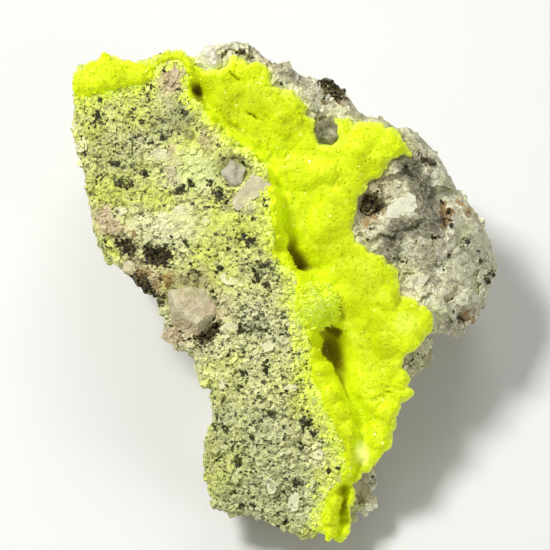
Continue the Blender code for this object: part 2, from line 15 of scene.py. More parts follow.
import bpy
import numpy as np
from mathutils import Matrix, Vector


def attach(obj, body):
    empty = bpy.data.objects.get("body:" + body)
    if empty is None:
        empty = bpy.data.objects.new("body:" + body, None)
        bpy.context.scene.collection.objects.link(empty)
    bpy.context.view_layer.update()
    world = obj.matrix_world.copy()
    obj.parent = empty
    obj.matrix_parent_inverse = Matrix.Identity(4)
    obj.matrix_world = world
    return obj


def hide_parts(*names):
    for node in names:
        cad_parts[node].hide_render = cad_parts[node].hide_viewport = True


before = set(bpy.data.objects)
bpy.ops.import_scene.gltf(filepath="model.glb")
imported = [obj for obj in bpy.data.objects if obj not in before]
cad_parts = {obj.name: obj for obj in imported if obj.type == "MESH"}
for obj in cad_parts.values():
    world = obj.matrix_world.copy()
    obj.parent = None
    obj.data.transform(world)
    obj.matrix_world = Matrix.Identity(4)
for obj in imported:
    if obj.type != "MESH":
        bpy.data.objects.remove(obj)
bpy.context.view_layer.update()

Array = np.ndarray
Rng = np.random.Generator
Piece = bpy.types.Object
Material = bpy.types.Material
Socket = bpy.types.NodeSocket
Pair = tuple[Array, Array]
Colour = tuple[float, float, float]
Stops = Sequence[tuple[float, Colour]]
Facets = tuple[tuple[float, float, int], ...]  # rows of cell size (mm), depth (mm) and random seed
MM = 0.001
LOG = logging.getLogger("autunite specimen")

# Driving dimensions
LEAN_BACK = radians(25.0)  # how far the display face leans back from facing straight up
REST_HEIGHT = 32.5 * MM  # height of the display frame's origin above the resting plane
BASE_SHIFT = (-2.26 * MM, -4.36 * MM)  # moves the middle of the stone's box over the origin
CRUST_TOP = 0.9 * MM  # how far the crust stands proud of the stone
ROOT_SPREAD = 2.0 * MM  # how much wider than the seam the crust's underside is
BELOW_BASE = 2.5 * MM  # how far the stone's sides run past the resting plane
FACE_REACH = 46 * MM  # half width of the square from which random places on the face are drawn
TAIL_REACH = 54 * MM  # how far to the left and down the crust's random places are drawn
FACE_STRETCH = 1.18  # how much taller than wide the face is
NORMAL_STEP = 0.12 * MM  # step by which a normal on the face is measured
SIDE_STEP = 0.004  # the same on the sides, in radians and as a share of the height
FLOOR_GAP = 0.9 * MM  # least height above the resting plane of a chip on the sides

# Silhouette of the stone seen square on to its display face, clockwise from the left (mm)
STONE_OUTLINE = (
    (-40.4, 36.6), (-40.6, 40), (-39, 42), (-36.4, 43), (-33.8, 44), (-31, 43.4), (-28.6, 42.4),
    (-25.6, 43.2), (-23, 44.4), (-19, 45), (-16.6, 43.4), (-14.6, 44.6), (-13.8, 46), (-10.6, 46.2),
    (-8, 46.8), (-5, 46.2), (-2.6, 44.2), (-1, 42.6), (2, 42.2), (4.4, 40.6), (7.4, 39.4), (11, 39.4),
    (14, 36.8), (16.6, 33.2), (18.4, 31.8), (22, 31.2), (24.4, 29.6), (27, 29.8), (29.4, 28), (33, 24.2),
    (35, 20.8), (37, 17.2), (40, 13.6), (42.4, 9.6), (44.4, 4.8), (45.4, 0.6), (44, -2), (42.6, -6),
    (40.6, -9), (38, -11), (35, -12), (30.4, -11.6), (29.2, -13.4), (27.4, -14.6), (25, -16.2),
    (24.6, -20), (25.6, -23), (24, -27), (21.8, -32), (21.2, -35), (19, -38), (16.8, -40.2),
    (14.6, -42.4), (14.2, -47), (14.2, -50.6), (12.8, -52), (10.8, -52), (8.6, -51.4), (5.8, -52.4),
    (3, -51.4), (0.6, -50), (-2.6, -48.6), (-6, -48), (-11.6, -46.6), (-13, -43), (-14.4, -37.4),
    (-13.6, -33), (-12.4, -29), (-12.6, -23), (-15, -21), (-16.4, -15.4), (-20, -14.8), (-21.8, -11),
    (-22.4, -8), (-24, -4.6), (-29, -0.4), (-34.2, 4.6), (-36.4, 9.8), (-36.8, 13), (-37.8, 19.4),
    (-39.6, 25), (-40.6, 30), (-40.2, 33.4),
)

# Edge of the autunite crust on the display face, clockwise from the cap's lower left (mm)
CRUST_OUTLINE = (
    (-40.8, 35.8), (-40.8, 38.2), (-39.8, 41), (-37.4, 42.4), (-35.2, 43.6), (-33, 44), (-31, 43),
    (-28.8, 42), (-26.6, 41.8), (-24.6, 42.8), (-22.4, 43.8), (-19.8, 44.4), (-17, 43.6), (-15.4, 42.2),
    (-13.8, 41), (-11.8, 40.8), (-10.2, 42), (-9.2, 43.4), (-7.8, 43.6), (-2.2, 41.4), (-0.8, 39.8),
    (-0.6, 37.6), (1.8, 37), (4.4, 36), (6.2, 33.8), (7.2, 31), (7.5, 28.2), (8.8, 26), (10.6, 25.2),
    (12.2, 26.6), (12.5, 28.8), (12.2, 31.4), (14.8, 31.6), (15.8, 30.2), (18.2, 30.8), (21.4, 30.2),
    (24.2, 28.8), (26, 26.4), (27.2, 24), (23.4, 23.6), (22.2, 21.4), (19.4, 18.8), (18.4, 16.8),
    (16.8, 14.6), (16, 11.4), (15.6, 9), (16.6, 6.6), (19.4, 4.8), (21.2, 3.6), (21.8, 2), (24.4, 0.8),
    (24.4, -1.2), (25.2, -3.8), (27.2, -4.8), (30, -6.8), (31.6, -8.4), (31.4, -11.4), (30, -13.6),
    (27.8, -15), (25.8, -15.8), (25.6, -18.2), (27, -21), (27.4, -23.2), (25.8, -25.6), (25.2, -27.8),
    (23.2, -31.2), (23, -34.2), (21.8, -36.2), (19.2, -39), (16, -41.8), (15.6, -44), (15.4, -49),
    (15.2, -52), (13.2, -53), (11, -52.8), (9.6, -51), (9.6, -48.4), (10.4, -45.4), (11.2, -42.6),
    (13, -40.6), (14, -38.2), (13.2, -35), (12.4, -31.8), (10.6, -27.6), (8.6, -23.6), (7, -19.4),
    (6.6, -15), (6.4, -10.6), (4.8, -7.4), (4.4, -4.2), (3.8, -0.6), (2.2, 1.6), (0.2, 4), (-0.6, 7),
    (-0.8, 10.6), (-1.2, 13.4), (-0.8, 16.6), (-1.2, 20), (-2.6, 23.2), (-5.4, 25.4), (-9, 27.8),
    (-12.4, 30.6), (-15.2, 34), (-17.6, 36.4), (-17.6, 39.8), (-19, 42.4), (-21.4, 42.8), (-23.2, 41.6),
    (-24.6, 39.4), (-27, 38.2), (-30.6, 37.4), (-34, 36.4), (-37.4, 35.4),
)

# The open seam between slab and wall, top to bottom: x, y, depth, half width (mm)
SEAM = (
    (-17, 47, 0.5, 1), (-16, 40.6, 1, 1), (-15.4, 37.2, 3.2, 1.3), (-11.8, 31, 2, 1.3),
    (-6.4, 25.8, 2.4, 1.3), (-1.4, 22, 2.4, 1.2), (0.8, 17, 1.6, 1.1), (1.6, 10, 3, 1.3),
    (3.6, 4.8, 6.5, 2), (5.9, 2, 8.4, 2.7), (6.8, 0.3, 2.6, 2.6), (8.2, -5, 1, 1.2), (9.6, -10, 5.5, 1.8),
    (11.8, -16.4, 8.5, 2.7), (13.6, -22, 5.5, 1.9), (15.8, -27.6, 3.8, 1.4), (17.2, -31.4, 2.4, 1.2),
    (16.6, -36.6, 0.5, 1.1), (13.7, -43, 2.8, 1), (13.6, -46.5, 3.2, 0.95), (13.1, -49, 3.2, 1),
    (12, -54, 0.5, 1),
)

# Heights of the slab, left of the seam: x, y, z (mm)
SLAB_HEIGHTS = (
    (-40, 38, 0.5), (-24, 40, 2), (-38, 20, 1), (-20, 22, 2.4), (-6, 18, 3.2), (-34, 8, 0.6),
    (-14, 4, 2.4), (0, 0, 3.4), (-20, -8, 0), (-6, -14, 2.6), (5, -16, 3.2), (-12, -30, 1.2),
    (4, -32, 2.8), (-10, -44, 0.4), (4, -48, 1.4),
)

# Heights of the wall and of the quartz shoulder, right of the seam: x, y, z (mm)
WALL_HEIGHTS = (
    (-13, 36, -0.6), (-12, 43.5, 0.8), (-4, 43, 0.2), (-5, 31, -1.4), (0, 37, 0.6), (5, 38.5, -1.2),
    (3, 24, -2.2), (6, 31, 0.4), (11, 36, -1), (10.5, 28.5, -0.4), (11, 20, 0.2), (16.5, 31.5, -1.4),
    (20, 26, 1.6), (24.5, 25.5, 0.8), (28, 28, -3), (5, 13, -2.6), (12, 10, -0.8), (16.5, 16, 1.2),
    (20, 13.5, -2.8), (26, 15, 1.6), (33, 19, -2.4), (8, 5, -3.2), (15, 1, 0), (15.5, 8, 1),
    (22, 7.5, -0.6), (30, 7, 2), (38, 8, -2), (11, -3, -3), (20, -3, 1.2), (26.5, 0.5, -2.8),
    (34, -2, -0.6), (42, -1, -6), (36, -8, -4.5), (14, -11, -3.2), (24, -10, 2), (30, -9, 1.4),
    (17, -18, -2.8), (23, -19, 1), (19, -27, -1.6), (24, -26, 0.6), (20.5, -34, 0.8), (17, -40, -0.8),
    (13, -52, -2),
)

# Radius that rounds the stone's edge over, by bearing from the centre (degrees, mm)
EDGE_RADIUS = (
    (-180, 1.6), (-150, 2.2), (-110, 1.6), (-80, 1.6), (-65, 1.2), (-25, 1.2), (-12, 4.5), (0, 8),
    (30, 6.5), (60, 3), (90, 2.6), (110, 2.2), (132, 3.4), (150, 1.6),
)
# Stone that stands out beyond the edge, deep below the crust, by bearing (degrees, mm)
LEDGE_REACH = (
    (-180, 0), (-76, 0), (-73, 3), (-69, 7.5), (-64, 7), (-61, 2.5), (-55, 2), (-46, 1.8), (-41, 4.5),
    (-36, 7), (-30, 7.5), (-24, 5), (-18, 0),
)
LEDGE_DEPTH = 8.0 * MM  # depth below the rim at which it stands out most
LEDGE_SPREAD = 3.5 * MM  # how far above and below that depth it reaches

# How far the sides draw in from the display face to the base, as a share of the radius
SIDE_TAPER = 0.13
TAPER_CURVE = 1.6  # power of the way down by which the sides draw in
FOOT_TUCK = 0.07  # how far the foot tucks in besides, as a share of the radius
FOOT_START = 0.72  # share of the way down where the foot starts to tuck in
FOOT_END = 0.97  # share of the way down where the side's breaks have faded out
BRIM = 0.08  # share of the way down over which the side's breaks grow from the edge

# Broken surfaces: cell size and depth of the fracture facets (mm), and their random seed
SLAB_BREAK = (4.2, 0.35, 11)
WALL_BREAK = (5.2, 1.5, 23)
SIDE_BREAKS = ((13, 3.2, 40), (5, 1, 50))

# Rounded lumps that stand on the crust: x, y, radius, height (mm)
CRUST_LUMPS = (
    (8.4, -5, 3.7, 3.2), (11.4, -23.4, 1.9, 1.2), (13.4, -27, 2, 1.2), (14.8, -31.2, 2, 1),
    (22.4, -27.8, 2.3, 1.4), (20.2, -31.8, 2.9, 1.6), (22, -14, 2.8, 1), (24.6, -19.2, 2.3, 1),
    (12.5, -45.6, 1.8, 1.6), (29, -9.6, 2.4, 0.9), (22.6, -4.6, 2.6, 0.9), (23.6, 26.4, 2.4, 0.8),
    (-38.2, 39, 2.6, 0.6), (-20, 42.6, 1.8, 0.5), (-9, 38, 3.2, 0.7), (2.2, 31, 3.4, 0.7),
    (17.5, -24, 4.2, 0.9), (21.6, -33.9, 2.2, 0.9), (25.2, -22.8, 2.6, 0.8), (15.8, -15.5, 3.4, 0.7),
    (27.4, -11.8, 4.6, 0.8), (14.6, -34.8, 2.2, 0.8), (-3.3, 35.2, 4, 0.8), (1.2, 34.4, 4.2, 0.8),
    (2.3, 29, 3.8, 0.7), (16, 27.9, 4.6, 0.9), (18.3, 24.6, 4.2, 0.6), (11.8, 21.8, 4, 0.6),
    (6.2, 20.4, 3.8, 0.6), (11.3, 12, 5, 0.8), (7.6, 7.8, 3.6, 0.6), (12.4, -51.6, 2.4, 0.8),
    (10.6, -49.2, 1.2, 0.7), (-33, 40.6, 3.6, 0.8), (12, -17.6, 1.6, 1), (14.4, -19.4, 1.5, 0.8),
    (1.2, 7.4, 1.2, 0.9), (2.7, 4.4, 1.3, 1), (3.2, 1.7, 1.2, 0.9), (0.3, 10.4, 1.1, 0.8),
    (0, 13.6, 1.3, 0.7), (-0.3, 17.2, 1.1, 0.7), (7.4, -12.4, 1.3, 0.8), (8.2, -15.4, 1.2, 0.8),
    (9, -18.6, 1.5, 0.9),
)

# Pale patches on the crust: x, y, half length, half width, turn, strength (mm, degrees)
CRUST_PALE_PATCHES = (
    (17.4, -35.6, 1.4, 2.3, 10, 0.9), (8.6, -6.2, 3.2, 3.2, 0, 0.1), (26, -9.6, 2.4, 2, 0, 0.2),
)

# Olive places on the crust, darkened through the shade mask, among them painted shadow along the rosette's
# right and lower edge: x, y, half length, half width, turn, strength (mm, degrees)
CRUST_OLIVE_AND_SHADOW_PATCHES = (
    (18, -1.6, 6.4, 5.4, -50, 0.3), (19.6, -12, 5, 4, 0, 0.22), (-8.6, 32.6, 4, 2.6, -50, 0.3),
    (10.6, 6, 3, 5, 10, 0.22), (24, -4.6, 2.4, 2, 0, 0.4), (-15.4, 35.8, 2.2, 1.4, -60, 0.6),
    (13.2, -6.6, 0.9, 3.4, 15, 0.5), (11.4, -10.8, 2.6, 0.9, -40, 0.5), (15.6, 0, 5, 7, 0, 0.24),
)

# Crevices in the crust: x, y, half length, half width, turn, depth (mm, degrees)
CRUST_PITS = (
    (-15.6, 37.3, 1.8, 0.8, -60, 1.3), (-8.2, 39.6, 1.7, 0.3, -42, 1.4), (-4.4, 31.8, 1.5, 0.3, -36, 1.4),
    (-30.6, 41.4, 2.6, 0.4, -12, 0.4), (-7.6, 29.2, 2.6, 0.5, -40, 0.6), (-1, 24.4, 0.6, 2.4, 0, 0.5),
    (18.8, -10.4, 2.4, 0.5, 62, 0.3), (23.6, -22.6, 2.2, 0.5, -12, 0.35), (8.4, 12, 0.5, 2, 8, 0.3),
    (12.2, 20, 0.5, 2.4, -12, 0.35), (13.6, 4, 0.5, 2.2, 6, 0.3), (10, -35, 0.5, 2, 12, 0.3),
    (20.6, -24.6, 2, 0.5, 20, 0.4), (19, -29.2, 1.8, 0.5, 24, 0.35), (2.8, 19, 0.5, 2, 14, 0.4),
    (13.7, -43.2, 1.1, 1.5, 0, 1.3), (13.8, -46.6, 0.8, 2.6, -4, 1.5), (13.6, -49.4, 1.4, 0.8, 20, 1),
    (11.2, -50, 3.2, 0.4, 6, 0.5), (22.9, -23.4, 0.6, 0.3, 0, 1),
)

# Larger pale crystals of the slab and of the wall: x, y, half length, half width, turn, tone (mm, degrees)
PALE_GRAINS = (
    (-23.2, 24.2, 1.8, 1.4, 20, 0.28), (-20.8, 20.4, 1.4, 1.2, 80, 0.46), (-19, 12.8, 1.2, 1.1, 10, 0.43),
    (-13.8, 10.6, 0.9, 0.8, 30, 0.5), (-1.4, -13.8, 2, 1.6, 60, 0.19), (-0.8, -42, 2.2, 1, -68, 0.8),
    (3.6, -45.4, 2.4, 1.2, 84, 0.76), (6, -48.4, 1.6, 1.2, 20, 0.4), (-7.8, -39.2, 2, 0.9, 5, 0.8),
    (-8.8, -0.8, 2.4, 1.2, -10, 0.56), (-29.2, 1.6, 1.4, 1.3, 30, 0.56),
    (-20.2, 39.6, 2.2, 0.9, 70, 0.53), (-30.4, 13, 1.3, 0.9, 20, 0.56),
    (-10.4, -21.6, 1.2, 0.9, 60, 0.43), (3.2, -22.6, 1.3, 1, 0, 0.31), (-38.6, 25.8, 1.7, 1.2, 75, 0.66),
    (-39.6, 29.4, 1.2, 1, 80, 0.66), (-38.9, 22.4, 1, 0.8, 60, 0.6), (37.6, -5, 1.5, 1.3, 20, 0.6),
    (37.3, -9.6, 0.9, 1.5, 10, 0.3), (36.6, -11.6, 1, 1.3, -20, 0.45), (28.6, -1.6, 2.2, 1.2, 30, 0.5),
    (25.8, 13.8, 3.6, 2.1, 36, 0.86), (-20.6, -12.4, 2.4, 1.8, -60, 0.3), (-9.4, -10.8, 2, 1.4, 30, 0.34),
)

# Crystals that hang below the wall beside the tail, laid out like the ones above
TAIL_CRYSTALS = (
    (17, -42.6, 2.6, 1.7, -5, 0.2), (17.4, -44.4, 2.5, 1.6, -15, 0.24),
    (19.3, -45.1, 1.9, 1.3, -42, 0.28), (16, -45.6, 1.3, 1.2, 60, 0.3), (16.2, -47, 1.2, 1, 20, 0.5),
    (17.7, -47, 1.2, 0.9, 60, 0.6), (18.9, -46.7, 1, 0.8, 0, 0.5), (20.1, -46.5, 0.9, 0.7, 30, 0.56),
    (16, -48.7, 1.2, 1, 70, 0.36), (18.3, -48.1, 0.7, 0.6, 0, 0.62), (15.4, -50.2, 0.9, 0.6, 75, 0.3),
)
TAIL_DROP = 2.4 * MM  # how far below the face they hang

# Clusters of mica on the slab: x, y, half width, half height (mm)
MICA_CLUSTERS = (
    (-35.4, 31.4, 0.6, 1.5), (-26.6, 30.6, 0.5, 0.5), (-34.8, 35, 0.5, 0.5), (-18.2, 32.4, 0.6, 0.6),
    (-21, 28.6, 0.5, 0.5), (-22.6, 27.4, 0.5, 0.5), (-24.8, 26.4, 0.5, 0.5), (-32.2, 22.2, 1, 0.5),
    (-26, 20.2, 0.7, 0.9), (-30.8, 18.2, 1, 1), (-28.4, 18, 0.6, 0.6), (-18.8, 17, 1.4, 1),
    (-16.8, 18.4, 0.8, 0.8), (-11.4, 16, 1, 1.6), (-13, 18.6, 0.8, 0.5), (-6.4, 22.4, 0.5, 0.5),
    (-1.6, 14.2, 0.8, 1.4), (-5.4, 6.8, 1.4, 1.4), (-2, 1.8, 1.4, 0.6), (-1.6, -2.2, 0.8, 0.7),
    (-3.6, -0.4, 0.6, 1.2), (-15.8, 0.8, 0.8, 0.5), (-11.2, 1.4, 0.6, 0.6), (-6.8, -10.6, 0.6, 1),
    (4.8, -15.4, 1.4, 0.6), (6, -18.2, 0.6, 0.8), (-6, -19.6, 1, 0.8), (-1.8, -18.4, 0.5, 1.4),
    (-1, -27.4, 0.7, 0.7), (-4.6, -32.4, 0.6, 0.5), (5.8, -29.6, 1.2, 1.4), (7.6, -31.6, 0.8, 0.8),
    (-10.2, -30.6, 0.6, 0.6), (-7.4, -37.8, 0.6, 0.6), (5.4, -34.4, 0.8, 0.7), (12.6, -39, 0.7, 0.6),
    (2, -43.5, 0.8, 0.5), (-6.7, -46.1, 0.5, 0.8), (1.9, -49.2, 0.8, 0.4), (10.9, -39.5, 0.4, 1),
    (-7.4, -36.9, 0.4, 0.8), (-4.7, -36.9, 0.4, 0.5), (-8.2, -43.6, 0.4, 0.4), (-4.6, -46.2, 0.6, 0.4),
    (4.2, -41.4, 1.4, 0.7), (-25.4, 37.4, 1, 0.5), (-19, 37, 0.5, 0.5), (-22.2, 41, 0.6, 0.4),
)

# Open pits and cracks in the stone: x, y, half length, half width, turn, depth (mm, degrees)
PITS = (
    (-13.3, -11.4, 3.4, 1.3, 35, 2.6), (-11.2, -5.2, 2.6, 0.5, -70, 1.2), (19, 13.8, 3.2, 2.2, -30, 2),
    (34.2, 11.4, 3.4, 1.1, 95, 1.6), (11.4, 37, 3.2, 1.8, -35, 1.2), (28, 9.6, 2.6, 0.7, 20, 1),
    (-29.6, 6, 2.8, 1.4, -30, 0.8), (-23.2, 3.8, 3, 1.8, -25, 0.9), (-25.4, -3, 3.2, 1.4, -40, 1.3),
    (-18.4, -12.6, 1.8, 0.6, 60, 1.2), (-9.6, -12, 1.7, 0.5, -70, 0.9), (1.6, 1.4, 1.6, 0.6, -50, 0.7),
    (23, -3.4, 1.8, 0.8, -50, 1), (38.4, 6.4, 1.1, 0.8, 0, 0.9), (0.8, -44, 1.8, 0.7, 10, 0.9),
    (-16.4, 40.2, 1.8, 0.6, 60, 0.8),
)

# Seats of the set crystals: x, y, half length, half width, turn, depth (mm, degrees)
SEATS = (
    (-16.5, -6.8, 6.1, 6.1, 20, 2.6), (9.9, 28.4, 3, 3.2, 15, 1.4), (-8.3, 20.4, 3.3, 3.1, -25, 1.5),
    (-12.7, 43.4, 2.6, 2.8, 0, 1.6), (-5.8, 15.9, 5, 1.7, 42, 0.5),
)

# Patches on the stone: x, y, half length, half width, turn, strength (mm, degrees)
IRON_PATCHES = (
    (-30.2, 6, 2.9, 1.5, -30, 1), (-23.3, 3.8, 3.3, 2.2, -25, 1.1), (-26.4, -2.6, 3.6, 1.8, -40, 1),
    (-22.6, -5.2, 0.9, 1.8, -20, 0.7), (11.4, 37.6, 3.4, 2, -35, 1), (19, 14.4, 1.6, 2.6, -50, 1),
    (38.2, 6.4, 0.7, 0.9, 0, 1), (41.8, 2.8, 0.6, 0.7, 0, 1), (44.2, 0.4, 1.2, 0.8, 0, 1),
    (-13.3, -11.4, 3.4, 1.6, 35, 1), (33.7, 14.4, 0.9, 0.4, -60, 0.8), (35, 11.2, 0.3, 2.2, 5, 0.75),
    (-6.6, 44.4, 1.2, 0.6, 0, 0.7), (30.6, 23, 2.2, 0.8, -15, 0.85), (32, 7.6, 1.3, 0.5, 30, 0.7),
    (40.8, 4.6, 0.5, 0.5, 0, 0.8), (23.2, 4.4, 1.6, 0.4, -50, 0.8), (25.6, 2.6, 0.9, 0.4, -40, 0.8),
    (23.4, -3.6, 1.8, 0.6, -50, 0.8), (42.8, -1.2, 0.9, 0.8, 0, 0.9), (37.2, -9, 0.9, 1.2, 0, 0.8),
    (-18.6, -10.6, 0.5, 0.4, 0, 0.9), (-18.2, -12.2, 0.5, 0.4, 0, 0.9),
)
RUST_PATCHES = (
    (-28, 8.2, 1.5, 1, 0, 1), (-21.4, -1.4, 2, 1.7, -30, 1), (-25.6, -1, 4, 2, -40, 0.8),
    (39, 13.2, 3.8, 0.8, -40, 0.9), (34.2, 12.2, 1.3, 3, 5, 1.5), (18.4, 10.4, 1.8, 1.2, 0, 0.8),
    (11, 36, 4.6, 2.8, -35, 0.5), (-17.4, -3.2, 1.6, 1, 0, 0.5), (-30, 6, 4.4, 2.6, -30, 0.5),
    (19.4, 13, 3.8, 2.8, 0, 0.7), (-3.4, 19.6, 0.7, 1.2, 20, 0.6), (38.6, -8.6, 1.2, 1.8, 0, 0.9),
    (-13, 24.8, 1.6, 0.7, 0, 0.4),
)
PINK_PATCHES = (
    (-33.3, 10.6, 4, 2.6, -40, 1), (-20.8, 39.2, 3.2, 4, 0, 1), (-19, -0.4, 4, 1.6, -20, 0.6),
    (-13.4, 27, 1.6, 2.6, 0, 0.7), (-20.4, 24.2, 1, 1.6, 0, 0.8), (-20.6, 20.2, 1.5, 2, 0, 0.7),
    (-27.4, 2.6, 3.2, 1.4, -40, 0.8), (-24.4, 0, 3.2, 1.8, -40, 0.8), (19, 17.4, 4.4, 3.2, 30, 0.8),
    (26, -5.6, 4, 3, 0, 0.5), (-6, 28, 2.6, 1.2, 0, 0.6), (4.6, -2, 1.6, 1, 0, 0.5),
    (-10.6, -6.6, 2.8, 3.4, 0, 0.6), (-1, 43, 3.4, 2.2, -20, 0.7), (-19.8, -11.4, 3.6, 3, 0, 0.9),
    (-26.4, -0.8, 4.6, 2.2, -40, 0.9), (-16.4, -1, 4, 2, 0, 0.6),
)
GREEN_PATCHES = (
    (-33.2, 4.4, 1.2, 1, 0, 1), (-14, 24, 4, 3, 0, 0.7), (-16, -40, 3, 3, 0, 0.8),
    (-34, 17, 6, 3.4, -20, 0.6), (-6, 8, 8, 4, -10, 0.6), (-11.2, -42, 2.2, 2, 0, 0.8),
    (-26, 30, 5, 3, 0, 0.4), (1.8, -24, 4, 6, 0, 0.5),
)
GREY_PATCHES = (
    (-20, 31, 6, 3.6, 20, 0.8), (-8.6, 21.4, 3.4, 3.6, 0, 0.5), (-2, 1, 4.6, 2.6, -10, 0.5),
    (-3, -10.6, 2.6, 2.2, 0, 0.6), (0, -34, 7, 6, 0, 0.25), (-10.6, -30, 3.2, 8, 0, 0.4),
    (-31, 24, 6, 7, 0, 0.4), (-4, -45, 9, 5, 0, 0.25),
)
SKIN_PATCHES = (
    (40.6, 4, 4.6, 8.6, 15, 1), (36.6, 18, 4, 4, 40, 0.8), (33, -6, 5, 3, 0, 0.5),
    (-16, 21, 5.4, 4, 0, 0.7), (-2, -45, 13, 7, 0, 0.75), (-6, -32, 8, 8, 0, 0.35),
)

# The smoky grey vein in the right-hand rock: x, y (mm)
VEIN_PATH = ((25.4, 23), (28.6, 19.4), (30.2, 15), (31.2, 10.4), (27.6, 9.8), (24, 9), (22.8, 5))
VEIN_HALF_WIDTH = 1.7 * MM

# Smoky places beside the vein, laid out like the patches above
SMOKY_PATCHES = (
    (17.6, 17.6, 3.6, 3, 30, 0.5), (24.2, 5.6, 2.6, 3.6, -20, 0.7), (31, 3, 1.5, 3.2, 10, 0.5),
    (8.4, 35.4, 1.8, 2.6, -40, 0.4), (2.4, 40.4, 3.6, 1, -30, 0.4), (27.8, 25.2, 3, 1.2, -40, 0.3),
)

# Where dark grains crowd together on the slab: x, y, half length, half width, turn, strength
CROWDED_PATCHES = (
    (0, -42, 15, 10, 0, 0.75), (-31, 24, 7, 9, 0, 0.3), (-22, 29, 6, 4, 0, 0.35), (0, -24, 9, 7, 0, 0.6),
    (-2, 2, 5, 5, 0, 0.5), (-3, -9.4, 6.4, 6, 0, 1),
)
# Where yellow dust covers the slab
DUSTY_PATCHES = (
    (-15.6, 22.6, 4.4, 3.4, 0, 1), (-9, 9.4, 7, 3, -8, 0.5), (-23, 15, 5, 2.4, -10, 0.5),
    (-33, 17, 3.6, 3, 0, 0.4), (1.6, 5, 2, 6, 10, 0.5), (-13.6, 4.6, 4.4, 2.6, 0, 0.5),
    (-11, -41.6, 2.4, 2, 0, 0.5),
)

# Where dark grains are rare
CALM_PATCHES = (
    (-15.6, 22.3, 5.2, 4.2, 0, 1.5), (-16.6, 10.6, 10, 2.8, 0, 0.9), (-9.4, 29, 9, 2.6, -45, 0.9),
    (-20.8, 39.2, 3.4, 4, 0, 1), (-9, -2.2, 4.6, 2.6, 0, 0.9), (-33, 10.6, 4, 2.8, -40, 1),
    (-2.4, 12, 3, 6, 20, 0.6), (2, -6, 2.6, 6, 10, 0.6), (8.6, -34, 2.6, 9, 10, 0.5),
)


def lattice(points: Array, seed: int) -> Array:
    """A repeatable random number from 0 to 1 for each whole-number lattice point.

    Args:
        points: whole-number positions, the last axis holding x, y, z.
        seed: which family of numbers to draw from.

    Returns:
        The numbers: the three coordinates times large odd numbers, mixed by shifts.
    """
    whole = points.astype(np.int64)
    mixed = whole[..., 0] * 374761393 + whole[..., 1] * 668265263 + whole[..., 2] * 2147483629
    mixed = (mixed + seed * 1274126177) & 0xFFFFFFFF
    mixed = ((mixed ^ (mixed >> 13)) * 1103515245) & 0xFFFFFFFF
    return ((mixed ^ (mixed >> 16)) & 0xFFFF) / 65535


def smooth_step(low: float | Array, high: float | Array, value: Array) -> Array:
    """0 below low, 1 above high, and the S curve 3t^2 - 2t^3 in between."""
    share = np.clip((value - low) / (high - low), 0, 1)
    return share * share * (3 - 2 * share)


def fade(low: float, high: float, value: Array) -> Array:
    """The same S curve, with its ends in millimetres."""
    return smooth_step(low * MM, high * MM, value)


def stacked(*parts: Array) -> Array:
    """Whole arrays side by side, along a new last axis."""
    return np.stack(parts, axis=-1)


def paired(first: Array, second: Array) -> Pair:
    """Every pair of a value from each row, as two flat arrays."""
    one, other = np.meshgrid(first, second, indexing="ij")
    return one.ravel(), other.ravel()


def cells_between(index: Array) -> Array:
    """The four corners' numbers of each cell of a grid of numbers."""
    return stacked(index[:-1, :-1], index[1:, :-1], index[1:, 1:], index[:-1, 1:])


def swell(points: Array, cell: float, seed: int) -> Array:
    """Smooth noise from -1 to 1: lattice numbers blended along each axis by an S curve.

    Args:
        points: positions (n, 3).
        cell: distance between lattice points.
        seed: which noise.

    Returns:
        One number for each position.
    """
    scaled = points / cell
    corner = np.floor(scaled)
    share = scaled - corner
    share = share * share * (3 - 2 * share)
    total = np.zeros(len(points))
    for step in product((0, 1), repeat=3):
        weight = np.prod(np.where(step, share, 1 - share), axis=-1)
        total += weight * lattice(corner + step, seed)
    return 2 * total - 1


def rolling(points: Array, cell: float, seed: int, octaves: int = 3) -> Array:
    """Sum of swells, each half as wide and half as strong as the last."""
    return sum(swell(points, cell / 2**k, seed + k) / 2**k for k in range(octaves))


def shaken(points: Array, reach: float, cell: float, seed: int) -> Array:
    """Points moved up to this reach by three swells, one for each axis."""
    return points + reach * stacked(*(swell(points, cell, seed + k) for k in range(3)))


